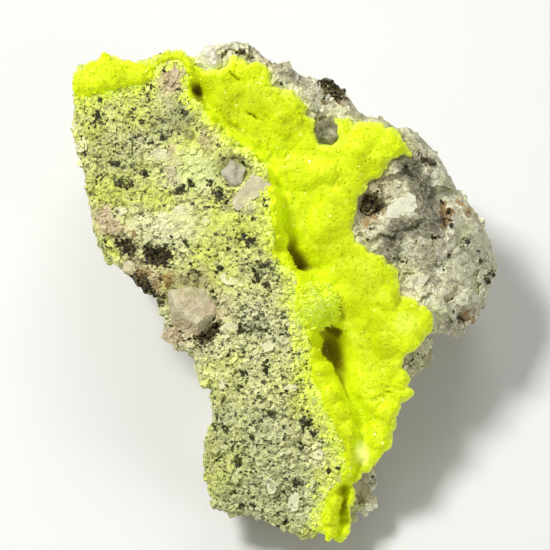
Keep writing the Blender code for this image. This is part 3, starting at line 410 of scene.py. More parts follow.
@dataclass(frozen=True)
class Cells:
    """For each point, its nearest scattered centre.

    Each lattice cell holds one centre at a random place. A point belongs to the nearest.
    """

    offset: Array
    distance: Array
    margin: Array
    home: Array
    seed: int

    @classmethod
    def around(cls, points: Array, cell: float, seed: int, flat: bool = False) -> "Cells":
        """Finds the cells that points lie in.

        Args:
            points: positions (n, 3).
            cell: mean size of a cell.
            seed: which scatter.
            flat: whether the centres lie in the plane z = 0.

        Returns:
            Offsets and distances in cells, and the margin to the second nearest centre.
        """
        scaled = points / cell
        if flat:
            scaled = scaled * (1, 1, 0)
        corner = np.floor(scaled)
        nearest, second = np.full(len(points), np.inf), np.full(len(points), np.inf)
        offset, home = np.zeros(points.shape), np.zeros(points.shape)
        for step in product((-1, 0, 1), (-1, 0, 1), (0,) if flat else (-1, 0, 1)):
            here = corner + step
            centre = here + stacked(*(lattice(here, seed + axis) for axis in range(3)))
            away = scaled - (centre * (1, 1, 0) if flat else centre)
            squared = (away**2).sum(axis=-1)
            closer = squared < nearest
            second = np.where(closer, nearest, np.minimum(second, squared))
            nearest = np.where(closer, squared, nearest)
            offset = np.where(closer[:, None], away, offset)
            home = np.where(closer[:, None], here, home)
        return cls(offset, np.sqrt(nearest), np.sqrt(second) - np.sqrt(nearest), home, seed)

    def value(self, kind: int) -> Array:
        """A random number from 0 to 1 for each cell."""
        return lattice(self.home, self.seed + kind)

    def facets(self) -> Array:
        """Fracture relief from about -1 to 1: each cell is a plane with its own tilt and level."""
        tilt = stacked(*(self.value(3 + axis) for axis in range(3))) * 2 - 1
        return (self.offset * tilt).sum(axis=-1) + self.value(6) - 0.5

    def domes(self) -> Array:
        """Botryoidal relief from 0 to 1: each cell is a ball's round top, with creases between."""
        return np.sqrt(np.clip(1 - self.distance**2, 0, 1))


def by_bearing(table: Sequence[tuple[float, float]], bearing: Array) -> Array:
    """Reads a table of (degrees, mm) at these bearings, in metres."""
    degrees, size = np.array(table).T
    return np.interp(np.degrees(bearing), degrees, size, period=360) * MM


def stretch_gap(x: Array, y: Array, start: Array, end: Array) -> Array:
    """Distance from each place to a straight stretch: to its nearest point, kept between its ends.

    Args:
        x, y: positions to the right and up the face.
        start: where the stretch starts.
        end: where it ends.

    Returns:
        The distances in metres.
    """
    run = end - start
    along = np.clip(((x - start[0]) * run[0] + (y - start[1]) * run[1]) / run.dot(run), 0, 1)
    return np.hypot(x - start[0] - along * run[0], y - start[1] - along * run[1])


def outline_distance(x: Array, y: Array, outline: Sequence[tuple[float, float]]) -> Array:
    """Signed distance to a closed outline, positive inside.

    The distance is the least of those to the outline's stretches, and the sign comes from how
    many stretches a line to the right crosses.

    Args:
        x, y: positions to the right and up the face.
        outline: the corners in millimetres.

    Returns:
        The distances in metres.
    """
    corners = np.array(outline) * MM
    nearest = np.full(len(x), np.inf)
    inside = np.zeros(len(x), dtype=bool)
    for start, end in zip(corners, np.roll(corners, -1, axis=0)):
        run = end - start
        nearest = np.minimum(nearest, stretch_gap(x, y, start, end))
        crosses = (start[1] > y) != (end[1] > y)
        rise = np.where(run[1] == 0, 1, run[1])
        inside ^= crosses & (x < start[0] + (y - start[1]) * run[0] / rise)
    return np.where(inside, nearest, -nearest)


def crust_inset(x: Array, y: Array) -> Array:
    """Distance inside the crust's plain outline, negative on the bare stone."""
    return outline_distance(x, y, CRUST_OUTLINE)


def patch_strength(x: Array, y: Array, patches: Sequence[Sequence[float]]) -> Array:
    """How strongly a set of soft oval patches covers each place.

    Each patch is its strength times exp(-r^4), where r is the distance in half widths.

    Args:
        x, y: positions to the right and up the face.
        patches: rows of x, y, half length, half width, turn and strength.

    Returns:
        The strongest patch's share at each place.
    """
    total = np.zeros(len(x))
    for centre_x, centre_y, half_length, half_width, turn, strength in patches:
        dx, dy = x - centre_x * MM, y - centre_y * MM
        along = (dx * cos(radians(turn)) + dy * sin(radians(turn))) / (half_length * MM)
        across = (dy * cos(radians(turn)) - dx * sin(radians(turn))) / (half_width * MM)
        total = np.maximum(total, strength * np.exp(-((along**2 + across**2) ** 2)))
    return total


def flat_points(x: Array, y: Array) -> Array:
    """Positions (n, 3) on the plane z = 0 of the display frame."""
    return stacked(x, y, np.zeros(len(x)))


def leaned_back(points: Array) -> Array:
    """Turns positions in the display frame into the frame that the solids stand in.

    Args:
        points: positions (n, 3), which are turned about the x axis by the lean, then moved.

    Returns:
        The positions in the other frame.
    """
    x, y, z = points.T
    depth = y * cos(LEAN_BACK) - z * sin(LEAN_BACK)
    height = y * sin(LEAN_BACK) + z * cos(LEAN_BACK)
    return stacked(x + BASE_SHIFT[0], depth + BASE_SHIFT[1], height + REST_HEIGHT)


def grounded(points: Array) -> Array:
    """Display positions leaned back, and none of them left under the resting plane."""
    x, y, z = leaned_back(points).T
    return stacked(x, y, np.maximum(z, 0))


@dataclass(frozen=True)
class Relief:
    """The specimen's main shape, shared by every piece that stands on it."""

    slab_reach: float = 10 * MM
    wall_reach: float = 3.6 * MM
    crust_rounding: float = 1.5 * MM
    lump_cell: float = 3 * MM
    lump_rise: float = 0.35 * MM
    folds: Facets = ((5.2, 1.2, 321), (2.6, 0.4, 331), (1.1, 0.08, 341))
    fold_softness: float = 0.07
    slab_coat: float = 0.45
    bead_cell: float = 0.75 * MM
    bead_rise: float = 0.05 * MM
    seam_lobes: float = 0.75 * MM
    lip_level: float = -1.6 * MM
    lip_lean: float = 0.34
    lip_reach: float = 4.5 * MM
    bed_drop: float = 0.45 * MM

    def mean_height(self, stations: Sequence[Sequence[float]], x: Array, y: Array, reach: float) -> Array:
        """Mean of the stations' heights, each weighted by exp(-d^2 / 2 reach^2).

        Args:
            stations: rows of x, y and height in millimetres.
            x, y: positions to the right and up the face.
            reach: how far a station's say carries.

        Returns:
            The heights, with a faint weight of 1 / d^2 for places far from every station.
        """
        weight_sum, height_sum = np.zeros(len(x)), np.zeros(len(x))
        for station_x, station_y, height in np.array(stations) * MM:
            squared = (x - station_x) ** 2 + (y - station_y) ** 2
            weight = np.exp(-squared / (2 * reach**2)) + 1e-12 / (squared + reach**2)
            weight_sum += weight
            height_sum += weight * height
        return height_sum / weight_sum

    def seam(self, x: Array, y: Array) -> tuple[Array, Array, Array]:
        """Where places lie beside the seam's path, which is read by height and made lobed by a swell.

        Args:
            x, y: positions to the right and up the face.

        Returns:
            Distance right of the path, and the seam's depth and half width there.
        """
        path = np.array(SEAM[::-1]) * MM
        path_x, depth, half_width = (np.interp(y, path[:, 1], path[:, k]) for k in (0, 2, 3))
        slope = np.interp(y, path[:, 1], np.gradient(path[:, 0], path[:, 1]))
        lobes = self.seam_lobes * swell(flat_points(x, y), 2.6 * MM, 371)
        return (x - path_x) / np.hypot(1, slope) + lobes, depth, half_width

    def face(self, x: Array, y: Array, widen: float = 0) -> Array:
        """Height of slab and wall, with the seam's bell-shaped trough cut between them.

        Args:
            x, y: positions to the right and up the face.
            widen: how much wider than the seam the trough is.

        Returns:
            The slab's mean height, turned by an S curve into the wall's, less depth times
            exp(-(offset / width)^2).
        """
        offset, depth, half_width = self.seam(x, y)
        width = half_width + widen
        wall_share = smooth_step(-width, width, offset)
        slab = self.mean_height(SLAB_HEIGHTS, x, y, self.slab_reach)
        wall = self.mean_height(WALL_HEIGHTS, x, y, self.wall_reach)
        return slab + (wall - slab) * wall_share - depth * np.exp(-((offset / width) ** 2))

    def frilled_inset(self, x: Array, y: Array) -> Array:
        """Distance inside the crust's outline, made lobed by folds and ragged by fine swells.

        Args:
            x, y: positions to the right and up the face.

        Returns:
            The distances. The swells are stronger and the folds weaker on the slab's side.
        """
        points = flat_points(x, y)
        slab_side = fade(1, -1, self.seam(x, y)[0])
        frill = (0.42 + 0.35 * slab_side) * swell(points, 1.7 * MM, 301)
        frill = frill + (0.2 + 0.15 * slab_side) * swell(points, 0.7 * MM, 302)
        frill += 1.3 * (np.abs(swell(points, 3.4 * MM, 303)) - 0.3) * (1 - 0.4 * slab_side)
        return crust_inset(x, y) + frill * MM

    def within(self, x: Array, y: Array, margin: float) -> Array:
        """Whether places lie inside the stone's silhouette by more than this margin."""
        return np.hypot(x, y) < self.outline_radius(np.arctan2(y, x)) - margin

    def leaned_under(self, points: Array) -> Array:
        """Moves the deep parts of the seam in under the slab's lip, in step with their depth.

        Args:
            points: display positions (n, 3).

        Returns:
            The positions, those near the seam moved down and to the left.
        """
        offset = self.seam(points[:, 0], points[:, 1])[0]
        near = smooth_step(2 * self.lip_reach, self.lip_reach, np.abs(offset))
        shift = self.lip_lean * np.clip(self.lip_level - points[:, 2], 0, None) * near
        return points - shift[:, None] * np.array((0.95, 0.31, 0))

    def crust_top(self, x: Array, y: Array, inset: Array) -> Pair:
        """Height of the crust's top: folds, domes and beads on an even coat, and named lumps.

        A fold is the absolute value of smooth noise, which gives round swells with sharp creases
        between them. The coat rounds down to the stone along a quarter circle at its edge.

        Args:
            x, y: positions to the right and up the face.
            inset: distance inside the crust's edge.

        Returns:
            The heights, and how deep in a crease each place lies, from 0 to 1.
        """
        points = flat_points(x, y)
        rim_inset = 1 - np.clip(inset / self.crust_rounding, 0, 1)
        rounded = np.sqrt(1 - rim_inset**2)
        warped = shaken(points, 0.6 * MM, 2.2 * MM, 310)
        beads = Cells.around(warped, self.bead_cell, 351, flat=True).domes()
        coat = CRUST_TOP + self.lump_rise * Cells.around(points, self.lump_cell, 71).domes()
        coat += self.bead_rise * (beads - 0.6) - 0.35 * MM
        crease = np.zeros(len(x))
        for cell, rise, seed in self.folds:
            fold = np.hypot(swell(warped, cell * MM, seed), self.fold_softness) - self.fold_softness
            coat += rise * MM * fold
            crease = np.maximum(crease, smooth_step(0.12, 0, fold) * min(rise, 1))
        cap = fade(35, 38, y) * fade(-22, -26, x)
        thick = np.maximum(fade(-3, 1, self.seam(x, y)[0]), cap)
        coat *= self.slab_coat + (1 - self.slab_coat) * thick
        top = self.face(x, y) + coat * rounded
        for lump_x, lump_y, radius, rise in np.array(CRUST_LUMPS) * MM:
            squared = ((x - lump_x) ** 2 + (y - lump_y) ** 2) / radius**2
            top += rise * np.clip(1 - squared, 0, 1) ** 0.75 * rounded
        crevice = self.crevices(x, y)
        # the crease share, crevices included, later paints shade into the crust's creases
        return top - crevice * MM, np.clip(crease * 0.8 + crevice, 0, 1)

    def crevices(self, x: Array, y: Array) -> Array:
        """Depth of the crust's named crevices, with ragged edges, in millimetres."""
        rag = 0.4 * MM * rolling(flat_points(x, y), 1.5 * MM, 361)
        return patch_strength(x + rag, y, CRUST_PITS)

    def outline_radius(self, bearing: Array) -> Array:
        """Distance from the centre to the stone's silhouette at each bearing."""
        corners = np.array(STONE_OUTLINE) * MM
        corner_bearing = np.arctan2(corners[:, 1], corners[:, 0])
        return np.interp(bearing, corner_bearing, np.hypot(*corners.T), period=tau)

    def resting_plane(self, y: Array) -> Array:
        """Height in the display frame of the plane that the stone rests on."""
        return -(REST_HEIGHT + y * sin(LEAN_BACK)) / cos(LEAN_BACK)


RELIEF = Relief()


class Mask(Enum):
    """What a mask on the stone's surface stands for, and the name that materials read it by."""

    GRAIN = "grain"
    ROCK = "rock"
    IRON = "iron"
    RUST = "rust"
    DARK = "dark"
    PINK = "pink"
    GREEN = "green"
    GREY = "grey"
    SKIN = "skin"
    SHADE = "shade"
    CHIP = "chip"
    TINTED = "tinted"
    # painted shade: darkens the crust in its creases and crevices
    CREASE = "crease"
    PALE = "pale"
    VEIN = "vein"
    CROWD = "crowd"


Masks = dict[Mask, Array]


@dataclass(frozen=True)
class Zones:
    """Where the stone is stained, greyed or rusted."""

    ragged: float = 0.9 * MM
    halo: float = 4.5 * MM
    dusty: float = 2 * MM

    def masks(self, x: Array, y: Array) -> Masks:
        """Soft masks of the stone at each place.

        The places are first shaken by fine noise, so that the patches get ragged edges, and each
        mask is the patches' strength plus some rolling noise, cut to the range 0 to 1.

        Args:
            x, y: positions to the right and up the face.

        Returns:
            One mask from 0 to 1 for each zone.
        """
        points = flat_points(x, y)
        rag_x = x + self.ragged * rolling(points, 1.6 * MM, 401)
        rag_y = y + self.ragged * rolling(points, 1.6 * MM, 411)
        rock = fade(-0.5, 0.5, RELIEF.seam(x, y)[0])
        edge = crust_inset(x, y) + rolling(points, 3 * MM, 421) * MM
        tinted = 0.75 * smooth_step(-self.halo, 0, edge) + 0.5 * smooth_step(-self.dusty, 0.4 * MM, edge)
        dusty, green, smoky, crowded, calm, iron, rust, pink, grey, skin = (
            patch_strength(rag_x, rag_y, patches)
            for patches in (
                DUSTY_PATCHES, GREEN_PATCHES, SMOKY_PATCHES, CROWDED_PATCHES, CALM_PATCHES,
                IRON_PATCHES, RUST_PATCHES, PINK_PATCHES, GREY_PATCHES, SKIN_PATCHES,
            )
        )
        tinted = np.maximum(tinted, dusty)
        broad = rolling(points, 9 * MM, 431)
        greened = (0.6 + 0.36 * broad) * (1 - 0.8 * rock) + 0.9 * tinted * (1 - 0.8 * rock)
        vein = smooth_step(2 * VEIN_HALF_WIDTH, 0.6 * VEIN_HALF_WIDTH, self.vein_distance(rag_x, rag_y))
        books = [(*cluster, 0, 1) for cluster in MICA_CLUSTERS]
        fray = 0.45 * MM * rolling(points, 0.9 * MM, 451)
        return {
            Mask.ROCK: rock,
            Mask.IRON: np.clip(iron * 1.15, 0, 1),
            Mask.RUST: np.clip(rust * (0.8 + 0.5 * swell(points, 0.8 * MM, 441)), 0, 1),
            Mask.DARK: patch_strength(x + fray, y - fray, books),
            Mask.TINTED: np.clip(tinted, 0, 1.2) * (1 - 0.85 * rock),
            Mask.PINK: np.clip(pink, 0, 1),
            Mask.GREEN: np.clip(greened + 0.6 * green, 0, 1),
            Mask.GREY: np.clip(grey, 0, 1),
            Mask.SKIN: np.clip(skin, 0, 1),
            Mask.VEIN: np.maximum(vein, smoky),
            Mask.CROWD: 0.5 + 0.5 * (crowded - calm),
        }

    def vein_distance(self, x: Array, y: Array) -> Array:
        """Distance to the smoky vein's path, the least of those to its stretches."""
        corners = np.array(VEIN_PATH) * MM
        return np.min([stretch_gap(x, y, start, end) for start, end in zip(corners, corners[1:])], axis=0)


ZONES = Zones()


def tint(red: float, green: float, blue: float) -> Colour:
    """The linear colour of display values from 0 to 255."""
    shares = np.array((red, green, blue)) / 255
    linear = np.where(shares <= 0.04045, shares / 12.92, ((shares + 0.055) / 1.055) ** 2.4)
    return tuple(float(share) for share in linear)


class Value:
    """A socket's number, on which Python's arithmetic adds Math nodes."""

    def __init__(self, graph: "Graph", socket: Socket) -> None:
        """Wraps one output socket of a graph's node."""
        self.graph = graph
        self.socket = socket

    def math(self, operation: str, *terms: "Value | float", clamp: bool = False) -> "Value":
        """Adds a Math node on these terms, in this order."""
        node = self.graph.add("ShaderNodeMath", dict(enumerate(terms)), operation=operation, use_clamp=clamp)
        return Value(self.graph, node.outputs[0])

    def __add__(self, other: "Value | float") -> "Value":
        """The sum of two values."""
        return self.math("ADD", self, other)

    def __sub__(self, other: "Value | float") -> "Value":
        """This value less another."""
        return self.math("SUBTRACT", self, other)

    def __rsub__(self, other: float) -> "Value":
        """A number less this value."""
        return self.math("SUBTRACT", other, self)

    def __mul__(self, other: "Value | float") -> "Value":
        """The product of two values."""
        return self.math("MULTIPLY", self, other)

    __radd__ = __add__
    __rmul__ = __mul__

    def most(self, other: "Value | float") -> "Value":
        """The larger of two values."""
        return self.math("MAXIMUM", self, other)

    def clamped(self) -> "Value":
        """This value cut to the range 0 to 1."""
        return self.math("ADD", self, 0, clamp=True)

    def step(self, low: float, high: float) -> "Value":
        """An S curve of this value.

        Args:
            low: where the curve is 0.
            high: where it is 1, which may be below low.

        Returns:
            The curve's height, which is flat beyond both ends.
        """
        ends = {"From Min": min(low, high), "From Max": max(low, high)}
        ends |= {"To Min": float(high < low), "To Max": float(high > low)}
        settings = {"interpolation_type": "SMOOTHSTEP", "clamp": True}
        node = self.graph.add("ShaderNodeMapRange", {"Value": self, **ends}, **settings)
        return Value(self.graph, node.outputs["Result"])


class Graph:
    """One material's nodes, added one at a time."""

    def __init__(self, name: str) -> None:
        """Starts a material with one Principled surface."""
        self.material = bpy.data.materials.new(name)
        self.material.use_nodes = True
        self.nodes = self.material.node_tree.nodes
        self.surface = self.nodes["Principled BSDF"]
        self.place = self.add("ShaderNodeTexCoord").outputs["Object"]

    def add(self, kind: str, inputs: dict | None = None, **settings: object) -> bpy.types.Node:
        """Adds a node: its settings come first, then the values or links of its sockets.

        Args:
            kind: the node's type.
            inputs: a value, a Value or a socket for each named or numbered input.
            settings: the node's own properties.

        Returns:
            The node.
        """
        node = self.nodes.new(kind)
        for name, setting in settings.items():
            setattr(node, name, setting)
        for name, wanted in (inputs or {}).items():
            self.feed(node.inputs[name], wanted)
        return node

    def feed(self, socket: Socket, wanted: object) -> None:
        """Links a socket to a Value or an output, or sets its constant."""
        source = wanted.socket if isinstance(wanted, Value) else wanted
        if isinstance(source, Socket):
            self.material.node_tree.links.new(source, socket)
        elif isinstance(source, tuple) and socket.type == "RGBA":
            socket.default_value = (*source, 1)
        else:
            socket.default_value = source

    def mask(self, mask: Mask) -> Value:
        """Reads a mask that is kept on the mesh."""
        node = self.add("ShaderNodeAttribute", attribute_name=mask.value, attribute_type="GEOMETRY")
        return Value(self, node.outputs["Fac"])

    def noise(self, size: float, detail: float = 3) -> Value:
        """Smooth noise from 0 to 1 with swells of this size in metres."""
        inputs = {"Vector": self.place, "Scale": 1 / size, "Detail": detail, "Roughness": 0.6}
        return Value(self, self.add("ShaderNodeTexNoise", inputs).outputs["Fac"])

    def shaken(self, size: float, reach: float) -> Socket:
        """The place in the material, moved about by coloured noise.

        Args:
            size: size of the noise's swells in metres.
            reach: how far it moves the place.

        Returns:
            The place plus reach times the noise, which is first centred on nothing.
        """
        inputs = {"Vector": self.place, "Scale": 1 / size, "Detail": 2}
        wander = self.add("ShaderNodeTexNoise", inputs).outputs["Color"]
        centred = self.add("ShaderNodeVectorMath", {0: wander, 1: (0.5, 0.5, 0.5)}, operation="SUBTRACT")
        inputs = {0: centred.outputs[0], 1: (reach, reach, reach), 2: self.place}
        return self.add("ShaderNodeVectorMath", inputs, operation="MULTIPLY_ADD").outputs[0]

    def grains(
        self, size: float, at: Socket, stretch: float = 1, turn: float = 0, metric: str = "EUCLIDEAN",
    ) -> tuple[Value, Value, Value]:
        """Scattered cells.

        Args:
            size: their size in metres.
            at: the place in the material.
            stretch: how much narrower they are than long.
            turn: the angle that they are turned by.
            metric: how distance is measured, which rounds or squares them.

        Returns:
            Two random numbers for each cell, and the distance to its centre.
        """
        bent = {"Vector": at, "Scale": (1, stretch, 1), "Rotation": (0, 0, turn)}
        scaled = {"Vector": self.add("ShaderNodeMapping", bent).outputs[0], "Scale": 1 / size}
        cells = self.add("ShaderNodeTexVoronoi", scaled, distance=metric)
        parts = self.add("ShaderNodeSeparateColor", {0: cells.outputs["Color"]})
        red, green = parts.outputs[:2]
        return Value(self, red), Value(self, green), Value(self, cells.outputs["Distance"])

    def cracks(self, size: float, width: float, at: Socket) -> Value:
        """1 on the borders between scattered cells of this size, gone at this distance from them."""
        inputs = {"Vector": at, "Scale": 1 / size}
        cells = self.add("ShaderNodeTexVoronoi", inputs, feature="DISTANCE_TO_EDGE")
        return Value(self, cells.outputs["Distance"]).step(width / size, 0)

    def ramp(self, value: Value, stops: Stops) -> Socket:
        """Turns a value into a colour.

        Args:
            value: what picks the colour.
            stops: rows of a position and its colour, which blend in between.

        Returns:
            The colour.
        """
        node = self.add("ShaderNodeValToRGB", {"Fac": value})
        elements = node.color_ramp.elements
        while len(elements) < len(stops):
            elements.new(1)
        for element, (position, colour) in zip(elements, stops):
            element.position = position
            element.color = (*colour, 1)
        return node.outputs["Color"]

    def toned(self, share: Value, below: object, low: Colour, high: Colour, pick: Value) -> Socket:
        """Lays a colour over the one below by a share, between two tones that a value picks."""
        return self.mixed(share.clamped(), below, self.ramp(pick, ((0, low), (1, high))))

    def mixed(self, share: Value | float, first: object, second: object, way: str = "MIX") -> Socket:
        """Mixes two colours.

        Args:
            share: 0 for the first and 1 for the second.
            first: one colour.
            second: the other.
            way: how they are blended.

        Returns:
            The mixed colour.
        """
        settings = {"data_type": "RGBA", "blend_type": way, "clamp_factor": True}
        node = self.add("ShaderNodeMix", {"Factor": share}, **settings)
        self.feed(node.inputs[6], first)
        self.feed(node.inputs[7], second)
        return node.outputs[2]

    def bumped(self, height: Value, distance: float, strength: float = 1) -> Socket:
        """A normal raised by a height from 0 to 1 that stands for this distance in metres."""
        inputs = {"Height": height, "Distance": distance, "Strength": strength}
        return self.add("ShaderNodeBump", inputs).outputs["Normal"]

    def finished(self, **sockets: object) -> Material:
        """Feeds the surface's sockets, named with underscores for spaces."""
        for name, wanted in sockets.items():
            self.feed(self.surface.inputs[name.replace("_", " ")], wanted)
        return self.material


@dataclass(frozen=True)
class GraniteFinish:
    """Stained granite: pale grains with green, rust and iron over them, and ragged black specks."""

    grain: float = 1.25 * MM
    fine_grain: float = 0.42 * MM
    speck: float = 0.85 * MM
    speck_sizes: Sequence[tuple[float, float, float]] = (  # rows of size, threshold and turn
        (1.7, 0.97, 0.6), (1, 0.97, -0.7), (0.6, 1.14, 2),
    )
    black: Stops = (
        (0, tint(24, 24, 14)), (0.5, tint(60, 60, 32)), (1, tint(128, 130, 72)),
    )
    iron: Stops = (
        (0, tint(15, 13, 7)), (0.5, tint(50, 45, 22)), (1, tint(134, 122, 74)),
    )
    stone: Stops = (
        (0, tint(142, 144, 122)), (0.16, tint(182, 182, 150)), (0.34, tint(214, 212, 172)),
        (0.7, tint(234, 232, 190)), (1, tint(244, 242, 208)),
    )
    rock: Stops = (
        (0, tint(118, 111, 98)), (0.2, tint(160, 151, 132)), (0.45, tint(198, 191, 165)),
        (0.75, tint(220, 216, 188)), (1, tint(238, 236, 214)),
    )

    def make(self) -> Material:
        """Adds the material: tone by grain, then stains, vein, cracks, rust, iron and specks."""
        graph = Graph("granite")
        at = graph.shaken(1.1 * MM, 0.7 * MM)
        tone, chance, _ = graph.grains(self.grain, at)
        fine_tone, fine_chance, fine_distance = graph.grains(self.fine_grain, at)
        rock = graph.mask(Mask.ROCK)
        chip = graph.mask(Mask.CHIP)
        crowd = graph.mask(Mask.CROWD)
        cloud = graph.noise(4 * MM)
        grit = graph.noise(0.22 * MM, 4)
        own = graph.mask(Mask.GRAIN) * chip + tone * (1 - chip)
        shade = own * 0.56 + fine_tone * 0.18 + cloud * 0.6 - crowd * 0.1 + 0.05 + (own - 0.5) * rock * 0.3
        base = graph.mixed(rock, graph.ramp(shade, self.stone), graph.ramp(shade, self.rock))
        green = graph.mask(Mask.GREEN) * (0.55 + 0.9 * cloud) + (fine_chance - 0.5) * 0.3
        stain = graph.mixed(chance, tint(240, 248, 128), tint(226, 240, 96))
        base = graph.mixed(green.clamped() * 0.86, base, graph.mixed(1, base, stain, "MULTIPLY"))

        tinted = graph.mask(Mask.TINTED) * (cloud * 1.3 + fine_chance * 0.5 - 0.15)
        pink = graph.mask(Mask.PINK) * (0.85 + 0.2 * fine_chance)
        vein = graph.mask(Mask.VEIN) * (0.75 + 0.3 * fine_chance)
        middling = self.middling(graph, rock, chip, crowd)
        gap = fine_distance.step(0.55, 0.8) * (0.1 + 0.45 * crowd) * (1 - chip * 0.4)
        crack = graph.cracks(3 * MM, 0.16 * MM, at) * graph.noise(3 * MM, 2).step(0.44, 0.56)
        crack = crack * (0.25 + 0.3 * rock)
        rust = (graph.mask(Mask.RUST) + (grit - 0.5) * 0.5 + (chance - 0.5) * 0.3).step(0.3, 0.75)
        for share, low, high, pick in (
            (graph.mask(Mask.GREY) * 0.7, tint(112, 110, 90), tint(166, 164, 138), fine_tone),
            (tinted * 0.8, tint(204, 216, 84), tint(236, 246, 130), fine_tone),
            (pink, tint(178, 156, 122), tint(222, 204, 168), fine_tone),
            (graph.mask(Mask.SKIN) * 0.64, tint(196, 202, 158), tint(230, 232, 202), cloud),
            (vein, tint(90, 86, 68), tint(142, 136, 114), fine_tone),
            (middling * 0.62, tint(128, 130, 86), tint(172, 176, 124), fine_tone),
            (gap, tint(50, 52, 26), tint(104, 106, 66), fine_tone),
            (crack, tint(72, 66, 48), tint(104, 96, 72), fine_tone),
            (rust * 0.75, tint(88, 52, 14), tint(184, 140, 66), fine_tone),
        ):
            base = graph.toned(share, base, low, high, pick)
        iron = (graph.mask(Mask.IRON) + (grit - 0.5) * 0.7 + (fine_chance - 0.5) * 0.9).step(0.45, 0.6)
        base = graph.mixed(iron, base, graph.ramp(fine_tone, self.iron))
        dark = (graph.mask(Mask.DARK) + (fine_chance - 0.5) * 0.7 + (grit - 0.5) * 0.4).step(0.42, 0.56)
        speck = self.specks(graph, rock, chip, crowd).most(dark)
        base = graph.mixed(speck, base, graph.ramp(fine_tone, self.black))
        height = fine_distance * 0.35 + grit * 0.5 + tone * 0.2 - crack * 0.6
        rough = 0.78 - 0.35 * (own.step(0.3, 0.1) + speck).clamped()
        normal = graph.bumped(height, 0.12 * MM, 0.8)
        return graph.finished(Base_Color=base, Roughness=rough, Specular_IOR_Level=0.3, Normal=normal)

    def middling(self, graph: Graph, rock: Value, chip: Value, crowd: Value) -> Value:
        """Olive-grey grains between the pale ones: some whole angular cells.

        Args:
            graph: the material's nodes.
            rock: 1 on the rock, where they are fainter.
            chip: 1 on loose grains, where they are fainter too.
            crowd: 1 where dark grains crowd together.

        Returns:
            How strongly they cover each place.
        """
        rag = graph.shaken(0.6 * MM, 0.5 * MM)
        chance, _, distance = graph.grains(self.speck * 1.25, rag, 1.35, 0.9, "MANHATTAN")
        here = (chance + (graph.noise(3 * MM, 2) - 0.5) * 0.9 + crowd * 0.34).step(0.84, 0.92)
        return here * distance.step(0.85, 0.6) * (1 - rock * 0.7) * (1 - chip * 0.35)

    def specks(self, graph: Graph, rock: Value, chip: Value, crowd: Value) -> Value:
        """Ragged black specks: the middles of some cells of three sizes.

        Args:
            graph: the material's nodes.
            rock: 1 on the rock, where they are fainter.
            chip: 1 on loose grains, where they are fainter too.
            crowd: 1 where dark grains crowd together.

        Returns:
            How strongly they cover each place: the most that any size does.
        """
        rag = graph.shaken(0.45 * MM, 0.5 * MM)
        swarm = graph.noise(3.6 * MM, 2)
        few = (1 - rock * 0.8) * (1 - chip * 0.4) * (1 - graph.mask(Mask.TINTED) * 0.45)
        total = None
        for size, share, turn in self.speck_sizes:
            chance, _, distance = graph.grains(self.speck * size, rag, 1.5, turn, "MANHATTAN")
            here = (chance + (swarm - 0.5) * 1 + crowd * 0.52).step(share, share + 0.04)
            speck = here * distance.step(0.72, 0.5)
            total = speck if total is None else total.most(speck)
        return total * few


@dataclass(frozen=True)
class AutuniteFinish:
    """Autunite: vivid yellow-green, paler on some crystals, with painted shade in its hollows and creases,
    painted glints and a painted glow.
    """

    # How strongly the crust emits its own colour: a painted glow, though it is no lamp
    painted_glow: float = 0.26
    roughness: float = 0.62

    def make(self) -> Material:
        """Adds the material: colour by region and each crystal's own tone, painted shade by depth and
        crease, then painted glints and a painted glow.
        """
        graph = Graph("autunite")
        at = graph.shaken(0.8 * MM, 0.4 * MM)
        tone, chance, distance = graph.grains(0.42 * MM, at, 0.7)
        region = graph.noise(10 * MM, 2)
        cloud = graph.noise(3.6 * MM)
        grit = graph.noise(0.16 * MM)
        light = tone * 0.16 + region * 0.75 + cloud * 0.75
        light = light + graph.mask(Mask.GRAIN) * 0.3 + grit * 0.16 - 0.64
        base = graph.ramp(light, (
            (0, tint(170, 182, 0)), (0.35, tint(196, 212, 4)),
            (0.7, tint(214, 232, 16)), (1, tint(232, 247, 70)),
        ))
        # Painted shade: creases and crevices darkened towards olive
        base = graph.mixed(graph.mask(Mask.CREASE) * 0.38, base, tint(172, 180, 0))
        # Painted shade: deep places and the seam's hollows darkened through olive to brown by the shade mask
        deep = graph.mask(Mask.SHADE) + (cloud - 0.5) * 0.2
        base = graph.mixed(deep.step(0.05, 0.75), base, graph.ramp(deep, (
            (0.2, tint(176, 180, 4)), (0.55, tint(124, 118, 4)), (1, tint(74, 64, 8)),
        )))
        pale = graph.mask(Mask.PALE) * (0.5 + chance * 0.5)
        base = graph.mixed(pale, base, tint(234, 242, 148))
        # Painted glints: a few tiny cells turned nearly white
        painted_glint = (chance + cloud * 0.06).step(1.018, 1.026) * distance.step(0.6, 0.35)
        base = graph.mixed(painted_glint * 0.8, base, tint(250, 255, 176))
        height = distance * 0.4 + grit * 0.3
        rough = self.roughness - 0.42 * chance.step(0.92, 0.97)
        # The base colour is emitted as well, a painted glow
        return graph.finished(
            Base_Color=base, Roughness=rough, Emission_Color=base, Emission_Strength=self.painted_glow,
            Specular_IOR_Level=0.3, Normal=graph.bumped(height, 0.05 * MM, 0.45),
            Subsurface_Weight=0.3, Subsurface_Radius=(1, 1, 0.2), Subsurface_Scale=0.7 * MM,
        )


